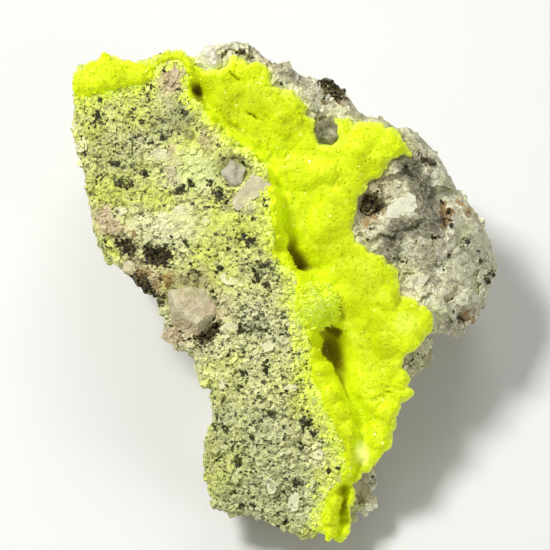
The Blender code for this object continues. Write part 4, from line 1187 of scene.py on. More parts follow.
@dataclass(frozen=True)
class QuartzFinish:
    """Quartz: a little clear under a broken surface, with cloudy and stained places."""

    name: str
    pale: Colour
    dark: Colour
    clearness: float
    blush: Colour
    stain_share: float
    stain: Colour = tint(206, 214, 120)

    def make(self) -> Material:
        """Adds the material: two tones in soft clouds, a stained skin, and healed cracks."""
        graph = Graph(self.name)
        at = graph.shaken(2 * MM, 1.2 * MM)
        tone, chance, _ = graph.grains(2.2 * MM, at)
        fine, _, distance = graph.grains(0.6 * MM, at)
        cloud = graph.noise(2.4 * MM, 4)
        grit = graph.noise(0.2 * MM)
        base = graph.mixed((tone * 0.5 + cloud * 1.1 - 0.3).clamped(), self.dark, self.pale)
        base = graph.mixed(chance.step(0.45, 0.6) * 0.7, base, self.blush)
        healed = graph.cracks(2.6 * MM, 0.2 * MM, at) * graph.noise(2 * MM, 2).step(0.42, 0.6)
        base = graph.mixed(healed * 0.35, base, graph.mixed(0.6, self.pale, tint(240, 236, 216)))
        stained = (graph.noise(3.4 * MM) + (fine - 0.5) * 0.3).step(0.46, 0.66)
        base = graph.mixed(stained * self.stain_share, base, graph.mixed(1, base, self.stain, "MULTIPLY"))
        rough = 0.34 + 0.3 * cloud + 0.2 * stained
        height = grit * 0.4 + distance * 0.35 + chance * 0.3
        return graph.finished(
            Base_Color=base, Roughness=rough, Transmission_Weight=self.clearness, IOR=1.544,
            Normal=graph.bumped(height, 0.12 * MM, 0.6),
        )


@dataclass(frozen=True)
class FeldsparFinish:
    """Feldspar: pearly pinkish cream, with fine cleavage lines."""

    def make(self) -> Material:
        """Adds the material: a mottled cream with a stained skin and a soft coat."""
        graph = Graph("feldspar")
        at = graph.shaken(1.2 * MM, 0.5 * MM)
        tone, chance, _ = graph.grains(1.6 * MM, at, 0.5)
        cloud = graph.noise(1.8 * MM, 4)
        grit = graph.noise(0.2 * MM)
        base = graph.ramp(tone * 0.4 + cloud * 0.9 - 0.2, (
            (0, tint(186, 172, 132)), (0.5, tint(212, 204, 166)), (1, tint(230, 224, 194)),
        ))
        base = graph.mixed(cloud.step(0.5, 0.75) * 0.6, base, tint(214, 224, 120))
        height = grit * 0.5 + chance * 0.5
        return graph.finished(
            Base_Color=base, Roughness=0.3 + 0.3 * grit, Coat_Weight=0.3,
            Normal=graph.bumped(height, 0.1 * MM, 0.6),
        )


@dataclass(frozen=True)
class MicaFinish:
    """Mica and iron-rich crumbs: nearly black, brown or olive, with a bright cleavage."""

    name: str
    dark: Colour
    light: Colour
    roughness: float = 0.42

    def make(self) -> Material:
        """Adds the material: each flake's own tone, and fine scales."""
        graph = Graph(self.name)
        tone, chance, _ = graph.grains(0.35 * MM, graph.place)
        grit = graph.noise(0.12 * MM)
        shade = graph.mask(Mask.GRAIN) * 0.6 + tone * 0.4
        base = graph.mixed(shade.clamped(), self.dark, self.light)
        rough = self.roughness + 0.3 * chance
        normal = graph.bumped(grit + tone * 0.4, 0.06 * MM, 0.7)
        return graph.finished(Base_Color=base, Roughness=rough, Specular_IOR_Level=0.35, Normal=normal)


@dataclass(frozen=True)
class FloorFinish:
    """The studio's pale matt floor."""

    colour: Colour = tint(226, 226, 224)

    def make(self) -> Material:
        """Adds the material: an even colour with the faintest unevenness."""
        graph = Graph("floor")
        paper = graph.noise(30 * MM, 2)
        base = graph.mixed(paper * 0.1, self.colour, tint(236, 236, 234))
        return graph.finished(Base_Color=base, Roughness=0.85)


def unit(vectors: Array) -> Array:
    """Vectors made one long."""
    return vectors / np.linalg.norm(vectors, axis=-1, keepdims=True)


def new_piece(
    name: str,
    points: Array,
    faces: Sequence[Array],
    material: Material,
    node: str,
    masks: Masks | None = None,
    smooth: bool = False,
) -> Piece:
    """Makes a mesh from whole arrays, which stands at the origin and rides on the specimen.

    Args:
        name: the piece's name.
        points: its corners in the frame of the solids.
        faces: blocks of faces, each an array (n, corners) of point numbers.
        material: its finish.
        node: the solid that it stands for.
        masks: a number for each corner under each mask's name.
        smooth: whether the faces are shaded as one rounded surface.

    Returns:
        The piece.
    """
    mesh = bpy.data.meshes.new(name)
    sizes = np.concatenate([np.full(len(block), block.shape[1]) for block in faces])
    corners = np.concatenate([block.ravel() for block in faces])
    mesh.vertices.add(len(points))
    mesh.vertices.foreach_set("co", points.astype(np.float32).ravel())
    mesh.loops.add(len(corners))
    mesh.loops.foreach_set("vertex_index", corners.astype(np.int32))
    mesh.polygons.add(len(sizes))
    mesh.polygons.foreach_set("loop_start", (np.cumsum(sizes) - sizes).astype(np.int32))
    mesh.polygons.foreach_set("use_smooth", np.full(len(sizes), smooth))
    mesh.update(calc_edges=True)
    for mask, values in (masks or {}).items():
        attribute = mesh.attributes.new(mask.value, "FLOAT", "POINT")
        attribute.data.foreach_set("value", values.astype(np.float32))
    mesh.materials.append(material)
    piece = bpy.data.objects.new(name, mesh)
    bpy.context.scene.collection.objects.link(piece)
    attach(piece, "root")
    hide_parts(node)
    LOG.info("%s: %d faces", name, len(sizes))
    return piece


def surface_at(surface: Callable[[Array, Array], Array], a: Array, b: Array, step: float) -> Pair:
    """Places on a surface of two parameters, and the normals there.

    The normal is the cross product of the small moves that a step in each parameter makes.

    Args:
        surface: gives positions (n, 3) for the two parameters.
        a: the first parameter.
        b: the second parameter.
        step: size of the small step in both.

    Returns:
        Positions and unit normals.
    """
    here = surface(a, b)
    return here, unit(np.cross(surface(a + step, b) - here, surface(a, b + step) - here))


@dataclass(frozen=True)
class Chip:
    """A small faceted solid that is laid down many times: its corners and its blocks of faces."""

    corners: Array
    faces: tuple[Array, ...]

    @classmethod
    def block(cls) -> "Chip":
        """A box from -1 to 1."""
        sides = ((0, 1, 3, 2), (4, 6, 7, 5), (0, 4, 5, 1), (2, 3, 7, 6), (0, 2, 6, 4), (1, 5, 7, 3))
        return cls(np.array(list(product((-1, 1), repeat=3))), (np.array(sides),))

    @classmethod
    def book(cls) -> "Chip":
        """A six-sided plate from -1 to 1."""
        index, after = np.arange(6), np.roll(np.arange(6), -1)
        turn = index * tau / 6
        ring = stacked(np.cos(turn), np.sin(turn))
        corners = np.concatenate([np.insert(ring, 2, level, axis=1) for level in (-1, 1)])
        walls = stacked(index, after, after + 6, index + 6)
        return cls(corners, (walls, np.array([index[::-1], index + 6])))

    def laid(
        self, centres: Array, axes: Array, half_sizes: Array, shake: float, rng: Rng,
    ) -> tuple[Array, list[Array]]:
        """Lays a copy at each centre.

        A copy's corner is its centre plus its axes times its half sizes times the chip's corner,
        which is first shaken by a random share.

        Args:
            centres: where the copies go (n, 3).
            axes: each copy's three axes, as the columns of a matrix (n, 3, 3).
            half_sizes: half sizes along the axes (n, 3).
            shake: how far the corners stray, as a share of the half sizes.
            rng: where the random numbers come from.

        Returns:
            All the corners and the blocks of faces.
        """
        count = len(self.corners)
        corners = self.corners + rng.uniform(-shake, shake, (len(centres), count, 3))
        points = centres[:, None] + np.einsum("nij,nkj->nki", axes, corners * half_sizes[:, None])
        first = np.arange(len(centres)) * count
        faces = [(block + first[:, None, None]).reshape(-1, block.shape[1]) for block in self.faces]
        return points.reshape(-1, 3), faces


def axes_on(normals: Array, lean: float, rng: Rng) -> Array:
    """Square axes for chips that lie on a surface.

    Args:
        normals: the surface's normals (n, 3).
        lean: how far the third axis leans off the normal at random.
        rng: where the random numbers come from.

    Returns:
        The axes as columns (n, 3, 3), the first two turned about the third at random.
    """
    up = unit(normals + rng.normal(size=normals.shape) * lean)
    side = unit(np.cross(up, rng.normal(size=normals.shape)))
    return stacked(side, np.cross(up, side), up)


def repeated(masks: Masks, count: int) -> Masks:
    """Each copy's masks, given to all of its corners."""
    return {mask: np.repeat(values, count) for mask, values in masks.items()}


@dataclass
class Stone:
    """The granite: its display face, broken sides and flat base in one closed surface."""

    finish: Material
    face_cells: int = 232
    side_rows: int = 46
    slab_facets: Facets = ((2.1, 0.2, 501), (0.8, 0.1, 511))
    wall_facets: Facets = ((3.2, 0.36, 521), (1, 0.1, 531))
    side_facets: Facets = ((2.2, 0.55, 541), (0.9, 0.22, 551))

    def facet_relief(self, points: Array, facets: Facets) -> Array:
        """Sum of fracture facets of several sizes."""
        return sum(
            Cells.around(points, size * MM, seed).facets() * depth * MM for size, depth, seed in facets
        )

    def breaks(self, x: Array, y: Array) -> Array:
        """Fracture relief of the face: main breaks plus fine facets.

        Args:
            x, y: positions to the right and up the face.

        Returns:
            The heights, the slab's left of the seam and the wall's right of it. The main breaks
            fade out at the crust.
        """
        points = flat_points(x, y)
        moved = shaken(points, 0.5 * MM, 1.5 * MM, 560)
        bare = smooth_step(0, RELIEF.crust_rounding, -crust_inset(x, y))
        slab = self.facet_relief(points, (SLAB_BREAK,)) * bare + self.facet_relief(moved, self.slab_facets)
        wall = self.facet_relief(points, (WALL_BREAK,)) * bare + self.facet_relief(moved, self.wall_facets)
        return np.where(RELIEF.seam(x, y)[0] < 0, slab, wall)

    def pits(self, x: Array, y: Array) -> Array:
        """Depth of the named pits and cracks, the deepest at each place."""
        rag = 0.5 * MM * rolling(flat_points(x, y), 1.4 * MM, 571)
        pits, seats = patch_strength(x + rag, y - rag, PITS), patch_strength(x + 0.4 * rag, y, SEATS)
        return np.maximum(pits, seats) * MM

    def surface(self, x: Array, y: Array) -> Array:
        """The display face: slab, wall and seam with breaks and pits, rounded over at the outline.

        Args:
            x, y: positions to the right and up the face.

        Returns:
            Positions in the display frame.
        """
        bearing = np.arctan2(y, x)
        rim, edge = RELIEF.outline_radius(bearing), by_bearing(EDGE_RADIUS, bearing)
        inset = np.clip(1 - (rim - np.hypot(x, y)) / edge, 0, 1)
        height = RELIEF.face(x, y) + self.breaks(x, y) - self.pits(x, y)
        height -= edge * (1 - np.sqrt(1 - inset**2))
        sunk = RELIEF.bed_drop + RELIEF.crevices(x, y) * MM
        bed = smooth_step(0, 0.8 * MM, crust_inset(x, y)) * sunk
        return RELIEF.leaned_under(stacked(x, y, height - bed))

    def on_face(self, x: Array, y: Array) -> Pair:
        """Places on the display face, and the normals there."""
        return surface_at(self.surface, x, y, NORMAL_STEP)

    def on_side(self, bearing: Array, share: Array) -> Pair:
        """Places on the broken side, and the outward normals there."""
        places, normals = surface_at(self.side_surface, bearing, share, SIDE_STEP)
        return places, -normals

    def side_surface(self, bearing: Array, share: Array) -> Array:
        """The broken side: a bearing and a share of the way down from the rim to the base.

        The radius is the outline's, drawn in towards the foot, plus the ledges, less the breaks
        and the fine facets, all of which grow in from nothing at the rim.

        Args:
            bearing: angle about the display frame's z axis.
            share: 0 at the rim and 1 just below the resting plane.

        Returns:
            Positions in the display frame.
        """
        rim = RELIEF.outline_radius(bearing)
        rim_x, rim_y = rim * np.cos(bearing), rim * np.sin(bearing)
        top = self.surface(rim_x, rim_y)[:, 2]
        foot = rim * (1 - SIDE_TAPER - FOOT_TUCK)
        floor = RELIEF.resting_plane(foot * np.sin(bearing)) - BELOW_BASE
        height = top + (floor - top) * share
        tucked = FOOT_TUCK * smooth_step(FOOT_START, 1, share)
        below = (top - height - LEDGE_DEPTH) / LEDGE_SPREAD
        ledge = by_bearing(LEDGE_REACH, bearing) * np.exp(-(below**2))
        radius = rim * (1 - SIDE_TAPER * share**TAPER_CURVE - tucked) + ledge
        points = stacked(radius * np.cos(bearing), radius * np.sin(bearing), height)
        fade = smooth_step(0, BRIM, share) - smooth_step(FOOT_START, FOOT_END, share)
        for size, depth, seed in SIDE_BREAKS:
            facets = np.clip(Cells.around(points, size * MM, seed).facets(), -1, 1)
            radius = radius - (1 - facets) / 2 * depth * MM * fade
        moved = shaken(points, 0.6 * MM, 1.8 * MM, 580)
        grown = smooth_step(0, 0.05, share)
        radius = radius + self.facet_relief(moved, self.side_facets) * grown
        height = height + self.facet_relief(moved[:, ::-1], self.side_facets) * 0.5 * grown
        return stacked(radius * np.cos(bearing), radius * np.sin(bearing), height)

    def masks(self, points: Array) -> Masks:
        """The stone's masks at these display positions.

        Down the sides, which the patches of the face say nothing about, they turn into stains
        that follow rolling noise in all three directions.

        Args:
            points: display positions (n, 3).

        Returns:
            A number from 0 to 1 for each position under each mask's name.
        """
        x, y, z = points.T
        masks = ZONES.masks(x, y)
        lower = fade(-1, -9, z) * fade(0.5, -3, crust_inset(x, y))
        masks[Mask.GREEN] = masks[Mask.GREEN] * (1 - 0.7 * lower)
        for mask in (Mask.IRON, Mask.RUST, Mask.PINK, Mask.GREY, Mask.VEIN):
            masks[mask] = masks[mask] * (1 - fade(-5, -14, z))
        blotch = rolling(points, 7 * MM, 591)
        masks[Mask.RUST] = np.maximum(masks[Mask.RUST], lower * smooth_step(0.45, 1, blotch) * 0.8)
        masks[Mask.GREY] = np.maximum(masks[Mask.GREY], lower * smooth_step(0.3, 0.9, -blotch) * 0.7)
        cloud, dusting = rolling(points, 11 * MM, 593), rolling(points, 5 * MM, 595)
        own = {
            Mask.ROCK: smooth_step(-0.7, 0.5, cloud), Mask.GREEN: 0.5 * smooth_step(-0.2, 0.9, -cloud),
            Mask.CROWD: 0.5 + 0.35 * dusting, Mask.RUST: 0.8 * smooth_step(0.45, 1, blotch),
            Mask.GREY: 0.6 * smooth_step(0.3, 0.9, -blotch),
            Mask.TINTED: 0.4 * smooth_step(0.3, 1, dusting),
        }
        side = fade(3, 9, RELIEF.face(x, y) - z)
        return {mask: values + (own.get(mask, 0) - values) * side for mask, values in masks.items()}

    def build(self) -> Piece:
        """Makes the stone from a square grid on the face and rows of corners down the sides.

        The square grid is bent to the outline: a point's larger coordinate is its share of the
        outline's radius, and its place along that square's side gives the bearing. The sides
        start from the grid's own border and end on the resting plane, which a fan closes.

        Returns:
            The piece that stands for the granite.
        """
        count = self.face_cells
        line = np.linspace(-1, 1, count + 1)
        share, bearing = self.square_to_polar(*paired(line, line))
        rim = RELIEF.outline_radius(bearing) * share
        face = self.surface(rim * np.cos(bearing), rim * np.sin(bearing))
        index = np.arange((count + 1) ** 2).reshape(count + 1, count + 1)
        border = np.concatenate([index[:-1, 0], index[-1, :-1], index[:0:-1, -1], index[0, :0:-1]])
        side_share, side_bearing = paired(np.linspace(0, 1, self.side_rows + 1)[1:], bearing[border])
        shown = np.concatenate([face, self.side_surface(side_bearing, side_share)])
        points = grounded(shown)
        rings = np.concatenate([border[None], np.arange(len(face), len(points)).reshape(-1, len(border))])
        after = np.roll(rings, -1, axis=1)
        walls = stacked(rings[:-1], rings[1:], after[1:], after[:-1])
        fan = stacked(rings[-1], np.full(len(border), len(points)), after[-1])
        points = np.concatenate([points, [[*points[rings[-1], :2].mean(axis=0), 0]]])
        masks = {mask: np.append(values, 0) for mask, values in self.masks(shown).items()}
        masks[Mask.GRAIN] = masks[Mask.CHIP] = np.zeros(len(points))
        faces = [cells_between(index).reshape(-1, 4), walls.reshape(-1, 4), fan]
        return new_piece("stone", points, faces, self.finish, "granite_matrix", masks)

    def square_to_polar(self, a: Array, b: Array) -> Pair:
        """Turns points of the square from -1 to 1 into polar ones.

        Args:
            a: the first coordinate.
            b: the second coordinate.

        Returns:
            The larger coordinate as a share of the radius, and the bearing, which is that of
            the square's side plus an eighth of a turn times the smaller over the larger.
        """
        share = np.maximum(np.abs(a), np.abs(b))
        sideways = np.abs(a) == share
        start = np.where(sideways, np.where(a < 0, tau / 2, 0), np.copysign(tau / 4, b))
        main, cross = np.where(sideways, a, b), np.where(sideways, b, -a)
        ratio = np.divide(cross, main, out=np.zeros(len(a)), where=main != 0)
        return share, start + ratio * tau / 8


@dataclass
class Grains:
    """The broken crystals that make up the granite's surface, on the face and on the sides."""

    stone: Stone
    finish: Material
    slab_count: int = 4200
    wall_count: int = 420
    side_count: int = 5200
    rim_count: int = 520
    nodule_reach: float = 7 * MM
    shake: float = 0.32
    seed: int = 7

    def face_places(self, count: int, on_slab: bool, rng: Rng) -> Pair:
        """Random places on the bare face, on the slab or on the wall.

        Args:
            count: how many to keep.
            on_slab: whether they lie on the slab.
            rng: where the random numbers come from.

        Returns:
            Positions to the right and up the face.
        """
        x, y = rng.uniform(-FACE_REACH, FACE_REACH, (2, count * 6))
        y = y * FACE_STRETCH
        on_side = (RELIEF.seam(x, y)[0] < 0) == on_slab
        bare = RELIEF.within(x, y, 0.1 * MM) & (crust_inset(x, y) < -0.2 * MM)
        nodule_x, nodule_y = SEATS[0][:2]
        by_nodule = np.hypot(x - nodule_x * MM, y - nodule_y * MM) < self.nodule_reach
        bare &= patch_strength(x, y, SEATS) < np.where(by_nodule, 1.2, 0.4)
        kept = np.flatnonzero(bare & on_side)[:count]
        return x[kept], y[kept]

    def build(self) -> list[Piece]:
        """Lays shaken boxes on the face, the sides and the rim, then the named crystals.

        Returns:
            The grains of the slab, the wall, the sides and the rim, and the two sets of crystals.
        """
        rng = np.random.default_rng(self.seed)
        pieces = []
        for name, count, on_slab, sizes in (
            ("slab_grains", self.slab_count, True, (0.2, 0.66)),
            ("wall_grains", self.wall_count, False, (0.2, 0.7)),
        ):
            places, normals = self.stone.on_face(*self.face_places(count, on_slab, rng))
            pieces.append(self.lay(name, places, normals, sizes, rng))
        bearing = rng.uniform(-tau / 2, tau / 2, self.side_count)
        places, normals = self.stone.on_side(bearing, rng.uniform(0.02, 0.93, self.side_count))
        clear = leaned_back(places)[:, 2] > FLOOR_GAP
        pieces.append(self.lay("side_grains", places[clear], normals[clear], (0.25, 0.85), rng))
        bearing = rng.uniform(-tau / 2, tau / 2, self.rim_count)
        places, normals = self.stone.on_side(bearing, rng.uniform(0, 0.05, self.rim_count))
        bare = crust_inset(places[:, 0], places[:, 1]) < -0.9 * MM
        pieces.append(self.lay("rim_grains", places[bare], normals[bare], (0.3, 0.85), rng))
        pieces.append(self.named("slab_crystals", PALE_GRAINS))
        pieces.append(self.named("tail_crystals", TAIL_CRYSTALS, TAIL_DROP))
        return pieces

    def lay(self, name: str, places: Array, normals: Array, sizes: tuple[float, float], rng: Rng) -> Piece:
        """Lays shaken boxes, most of them small and larger down the slab, half sunk where they stand.

        Args:
            name: the piece's name.
            places: where they go (n, 3).
            normals: the surface's normals there.
            sizes: the least and most half size (mm).
            rng: where the random numbers come from.

        Returns:
            The piece.
        """
        count = len(places)
        size = sizes[0] + (sizes[1] - sizes[0]) * rng.uniform(0, 1, count) ** 2.2
        size *= 1 + 0.3 * fade(-22, -38, places[:, 1])
        half = size[:, None] * rng.uniform(0.62, 1.25, (count, 3)) * MM
        sunk = places - normals * (half[:, 2] * rng.uniform(0.6, 1.05, count))[:, None]
        points, faces = Chip.block().laid(sunk, axes_on(normals, 0.2, rng), half, self.shake, rng)
        masks = self.stone.masks(places)
        masks |= {Mask.GRAIN: rng.uniform(0, 1, count), Mask.CHIP: np.ones(count)}
        return self.piece(name, grounded(points), faces, repeated(masks, 8))

    def named(self, name: str, rows: Sequence[tuple[float, ...]], drop: float = 0) -> Piece:
        """Lays six-sided pale crystals at named places.

        Args:
            name: the piece's name.
            rows: x, y, half length, half width, turn and tone of each (mm, degrees).
            drop: how far below the face they lie.

        Returns:
            The piece.
        """
        rng = np.random.default_rng(self.seed + 1)
        x, y, length, width, turn, tone = np.array(rows).T
        places, normals = self.stone.on_face(x * MM, y * MM)
        places = places - (0, 0, drop)
        up = unit(normals + (0, 0, 1.5))
        side = unit(np.cross(up, flat_points(np.cos(np.radians(turn)), np.sin(np.radians(turn)))))
        axes = stacked(np.cross(side, up), side, up)
        half = stacked(length, width, np.minimum(length, width) * 0.8) * MM
        points, faces = Chip.book().laid(places - up * half[:, 2:] * 0.7, axes, half, 0.26, rng)
        masks = self.stone.masks(places)
        for mask in (Mask.GREEN, Mask.GREY, Mask.TINTED, Mask.DARK, Mask.CROWD):
            masks[mask] = masks[mask] * 0.3
        masks |= {Mask.GRAIN: tone, Mask.CHIP: np.ones(len(x))}
        return self.piece(name, leaned_back(points), faces, repeated(masks, 12))

    def piece(self, name: str, points: Array, faces: list[Array], masks: Masks) -> Piece:
        """Adds one piece that stands for the stone."""
        return new_piece(name, points, faces, self.finish, "granite_matrix", masks)


@dataclass
class Micas:
    """Black mica books and dark crumbs in the granite, mostly in small clusters."""

    grains: Grains
    mica: Material
    iron: Material
    cluster_count: int = 210
    wall_cluster_count: int = 26
    books_each: int = 3
    named_books_each: int = 7
    side_count: int = 420
    crumb_count: int = 300
    crumb_draws: int = 60000
    seed: int = 17

    def build(self) -> list[Piece]:
        """Lays the clusters at random and at their named places, then the crumbs on the iron patches.

        Returns:
            The books on the face, the books on the sides and the crumbs.
        """
        rng = np.random.default_rng(self.seed)
        stone = self.grains.stone
        centres = [self.grains.face_places(self.cluster_count, True, rng)]
        centres.append(self.grains.face_places(self.wall_cluster_count, False, rng))
        named = np.array(MICA_CLUSTERS).T * MM
        scattered = np.repeat(np.concatenate(centres, axis=1), self.books_each, axis=1)
        place, half = np.repeat(named.reshape(2, 2, -1), self.named_books_each, axis=2)
        first_named = scattered.shape[1]
        spread = np.concatenate([np.full(scattered.shape, 0.5 * MM), half * 0.6], axis=1)
        x, y = np.concatenate([scattered, place], axis=1) + rng.normal(size=spread.shape) * spread
        radius = rng.uniform(0.16, 0.42, len(x)) * MM
        radius[:first_named] *= rng.uniform(0.4, 1, first_named)
        bare = RELIEF.within(x, y, 0.2 * MM) & (crust_inset(x, y) < -0.3 * MM)
        bare &= patch_strength(x, y, SEATS) < 0.3
        calm = np.maximum(patch_strength(x, y, PINK_PATCHES), 0.6 * patch_strength(x, y, CALM_PATCHES))
        bare &= (calm < 0.3) | (np.arange(len(x)) >= first_named)
        places, normals = stone.on_face(x[bare], y[bare])
        pieces = [self.lay("mica_books", places, normals, radius[bare], self.mica, rng)]
        bearing = rng.uniform(-tau / 2, tau / 2, self.side_count)
        share = rng.integers(2, int(0.9 * stone.side_rows), self.side_count) / stone.side_rows
        places, normals = stone.on_side(bearing, share)
        clear = leaned_back(places)[:, 2] > FLOOR_GAP
        radius = rng.uniform(0.25, 0.62, self.side_count)[clear] * MM
        places, normals = places[clear], normals[clear]
        pieces.append(self.lay("side_mica", places - normals * 0.22 * MM, normals, radius, self.mica, rng))
        pieces.append(self.crumbs(rng))
        return pieces

    def crumbs(self, rng: Rng) -> Piece:
        """Lays dark crumbs where the iron patches are strong."""
        x, y = rng.uniform(-FACE_REACH, FACE_REACH, (2, self.crumb_draws))
        strong = patch_strength(x, y, IRON_PATCHES) > rng.uniform(0.35, 1, len(x))
        bare = RELIEF.within(x, y, 0.1 * MM) & (crust_inset(x, y) < -0.2 * MM)
        kept = np.flatnonzero(strong & bare)[: self.crumb_count]
        places, normals = self.grains.stone.on_face(x[kept], y[kept])
        radius = (0.12 + 0.3 * rng.uniform(0, 1, len(kept)) ** 2) * MM
        return self.lay("iron_crumbs", places, normals, radius, self.iron, rng, 0.9)

    def lay(
        self, name: str, places: Array, normals: Array, radius: Array,
        finish: Material, rng: Rng, thickness: float = 0.5,
    ) -> Piece:
        """Lays six-sided books, half sunk, each with its own lean and tone.

        Args:
            name: the piece's name.
            places: where they go (n, 3).
            normals: the surface's normals there.
            radius: their radii.
            finish: their material.
            rng: where the random numbers come from.
            thickness: their thickness, as a share of their width.

        Returns:
            The piece.
        """
        count = len(places)
        half = radius[:, None] * rng.uniform(0.7, 1.3, (count, 3)) * (1, 1, thickness)
        axes = axes_on(normals, 0.45, rng)
        points, faces = Chip.book().laid(places + normals * half[:, 2:] * 0.2, axes, half, 0.2, rng)
        masks = repeated({Mask.GRAIN: rng.uniform(0, 1, count)}, 12)
        return new_piece(name, grounded(points), faces, finish, "granite_matrix", masks)


@dataclass
class Crust:
    """The autunite: a frilled coat over the face and down into the seam, set with small plates."""

    stone: Stone
    finish: Material
    cell: float = 0.2 * MM
    thickness: float = 0.9 * MM
    plate_count: int = 4600
    plate_draws: int = 150000
    dust_count: int = 3400
    dust_draws: int = 120000
    blade_count: int = 460
    rosette: tuple[float, float] = (8.6, -6)
    rosette_reach: tuple[float, float] = (3.9, 4.3)
    blade_sizes: tuple[tuple[float, float], ...] = ((0.8, 1.4), (0.4, 0.95), (0.09, 0.18))
    seed: int = 27

    def surface(self, x: Array, y: Array) -> Array:
        """The coat's top in the display frame."""
        height, _ = RELIEF.crust_top(x, y, RELIEF.frilled_inset(x, y))
        return RELIEF.leaned_under(stacked(x, y, height))

    def masks(self, points: Array) -> Masks:
        """How deep, creased and pale the coat is.

        Args:
            points: display positions (n, 3).

        Returns:
            The masks: the shade grows with depth and in the seam's hollows, and the rim is paler.
        """
        x, y, z = points.T
        inset = RELIEF.frilled_inset(x, y)
        _, crease = RELIEF.crust_top(x, y, inset)
        offset, depth, half_width = RELIEF.seam(x, y)
        offset = offset + 0.9 * MM * rolling(flat_points(x, y), 2.4 * MM, 371)
        hollow = np.exp(-((offset / (1.2 * half_width)) ** 2)) * fade(1.5, 7.5, depth)
        # Painted shade: darker the deeper the coat lies and in the seam's hollows
        deep = fade(-1.5, -7.5, z) * 0.4 + hollow * 0.5
        deep *= 1 - 0.15 * fade(-4, -10, y)
        rag = 0.8 * MM * rolling(flat_points(x, y), 1.6 * MM, 381)
        # Olive places and painted shadow beside the rosette, added to the painted shade
        olive = patch_strength(x + rag, y, CRUST_OLIVE_AND_SHADOW_PATCHES)
        rim = fade(1.1, 0.1, inset) * smooth_step(0, 2 * MM, offset)
        return {
            # The named crevices add painted shade too
            Mask.SHADE: np.clip(np.maximum(deep, RELIEF.crevices(x, y) * 0.4) + olive, 0, 1),
            Mask.CREASE: crease,
            Mask.PALE: np.maximum(patch_strength(x, y, CRUST_PALE_PATCHES), 0.28 * rim),
        }

    def kept_cells(self, inset: Array) -> Array:
        """Which of the grid's cells lie inside the crust.

        Args:
            inset: distance inside the crust's edge at each corner of the grid.

        Returns:
            Whether each cell is kept. Cells that meet only at a corner are dropped.
        """
        inside = inset > 0
        cells = inside[:-1, :-1] & inside[1:, :-1] & inside[:-1, 1:] & inside[1:, 1:]
        for _ in range(4):
            a, b, c, d = cells[:-1, :-1], cells[:-1, 1:], cells[1:, :-1], cells[1:, 1:]
            pinched = (a & d & ~b & ~c) | (b & c & ~a & ~d)
            for block in (a, b, c, d):
                block &= ~pinched
        return cells

    def pushed_out(self, x: Array, y: Array) -> Pair:
        """Moves points on to the frilled outline by Newton steps down its slope.

        Args:
            x: the border's positions to the right.
            y: the border's positions up the face.

        Returns:
            The moved positions.
        """
        step = 0.03 * MM
        for _ in range(3):
            inset = RELIEF.frilled_inset(x, y)
            slope_x = (RELIEF.frilled_inset(x + step, y) - inset) / step
            slope_y = (RELIEF.frilled_inset(x, y + step) - inset) / step
            move = inset / np.maximum(slope_x**2 + slope_y**2, 0.25)
            x = x - np.clip(move * slope_x, -self.cell, self.cell)
            y = y - np.clip(move * slope_y, -self.cell, self.cell)
        return x, y

    def coat(self) -> Piece:
        """Makes the coat: the grid's cells inside the outline, as a top sheet, an underside and a rim.

        Returns:
            The piece that stands for the crust.
        """
        outline = np.array(CRUST_OUTLINE)
        low, high = outline.min(axis=0) * MM - MM, outline.max(axis=0) * MM + MM
        line_x, line_y = (np.arange(low[k], high[k], self.cell) for k in (0, 1))
        grid_x, grid_y = np.meshgrid(line_x, line_y, indexing="ij")
        inset = RELIEF.frilled_inset(grid_x.ravel(), grid_y.ravel()).reshape(grid_x.shape)
        cells = self.kept_cells(inset)
        corners = np.zeros(inset.shape, dtype=int)
        for across, up in product((0, 1), repeat=2):
            corners[across : across + cells.shape[0], up : up + cells.shape[1]] += cells
        used = corners > 0
        number = np.full(inset.shape, -1)
        number[used] = np.arange(used.sum())
        quads = cells_between(number)[cells]
        x, y = grid_x[used], grid_y[used]
        border = corners[used] < 4
        x[border], y[border] = self.pushed_out(x[border], y[border])
        inset = np.where(border, 0, RELIEF.frilled_inset(x, y))
        height, _ = RELIEF.crust_top(x, y, np.maximum(inset, 0))
        top = RELIEF.leaned_under(stacked(x, y, height))
        low_height = np.minimum(RELIEF.face(x, y), RELIEF.face(x, y, ROOT_SPREAD)) - self.thickness
        low_height -= RELIEF.crevices(x, y) * MM
        under = RELIEF.leaned_under(stacked(x, y, low_height))
        count = len(x)
        points = np.concatenate([top, under])
        edges = np.concatenate([quads[:, [k, (k + 1) % 4]] for k in range(4)])
        keys = edges[:, 0] * count + edges[:, 1]
        start, end = edges[~np.isin(keys, edges[:, 1] * count + edges[:, 0])].T
        rim = stacked(end, start, start + count, end + count)
        masks = self.masks(points)
        masks[Mask.GRAIN] = np.full(len(points), 0.5)
        faces = [quads, quads[:, ::-1] + count, rim]
        return self.piece("crust", leaned_back(points), faces, masks, True)

    def piece(
        self, name: str, points: Array, faces: list[Array], masks: Masks, smooth: bool = False,
    ) -> Piece:
        """Adds one piece that stands for the crust."""
        return new_piece(name, points, faces, self.finish, "autunite_crust", masks, smooth)

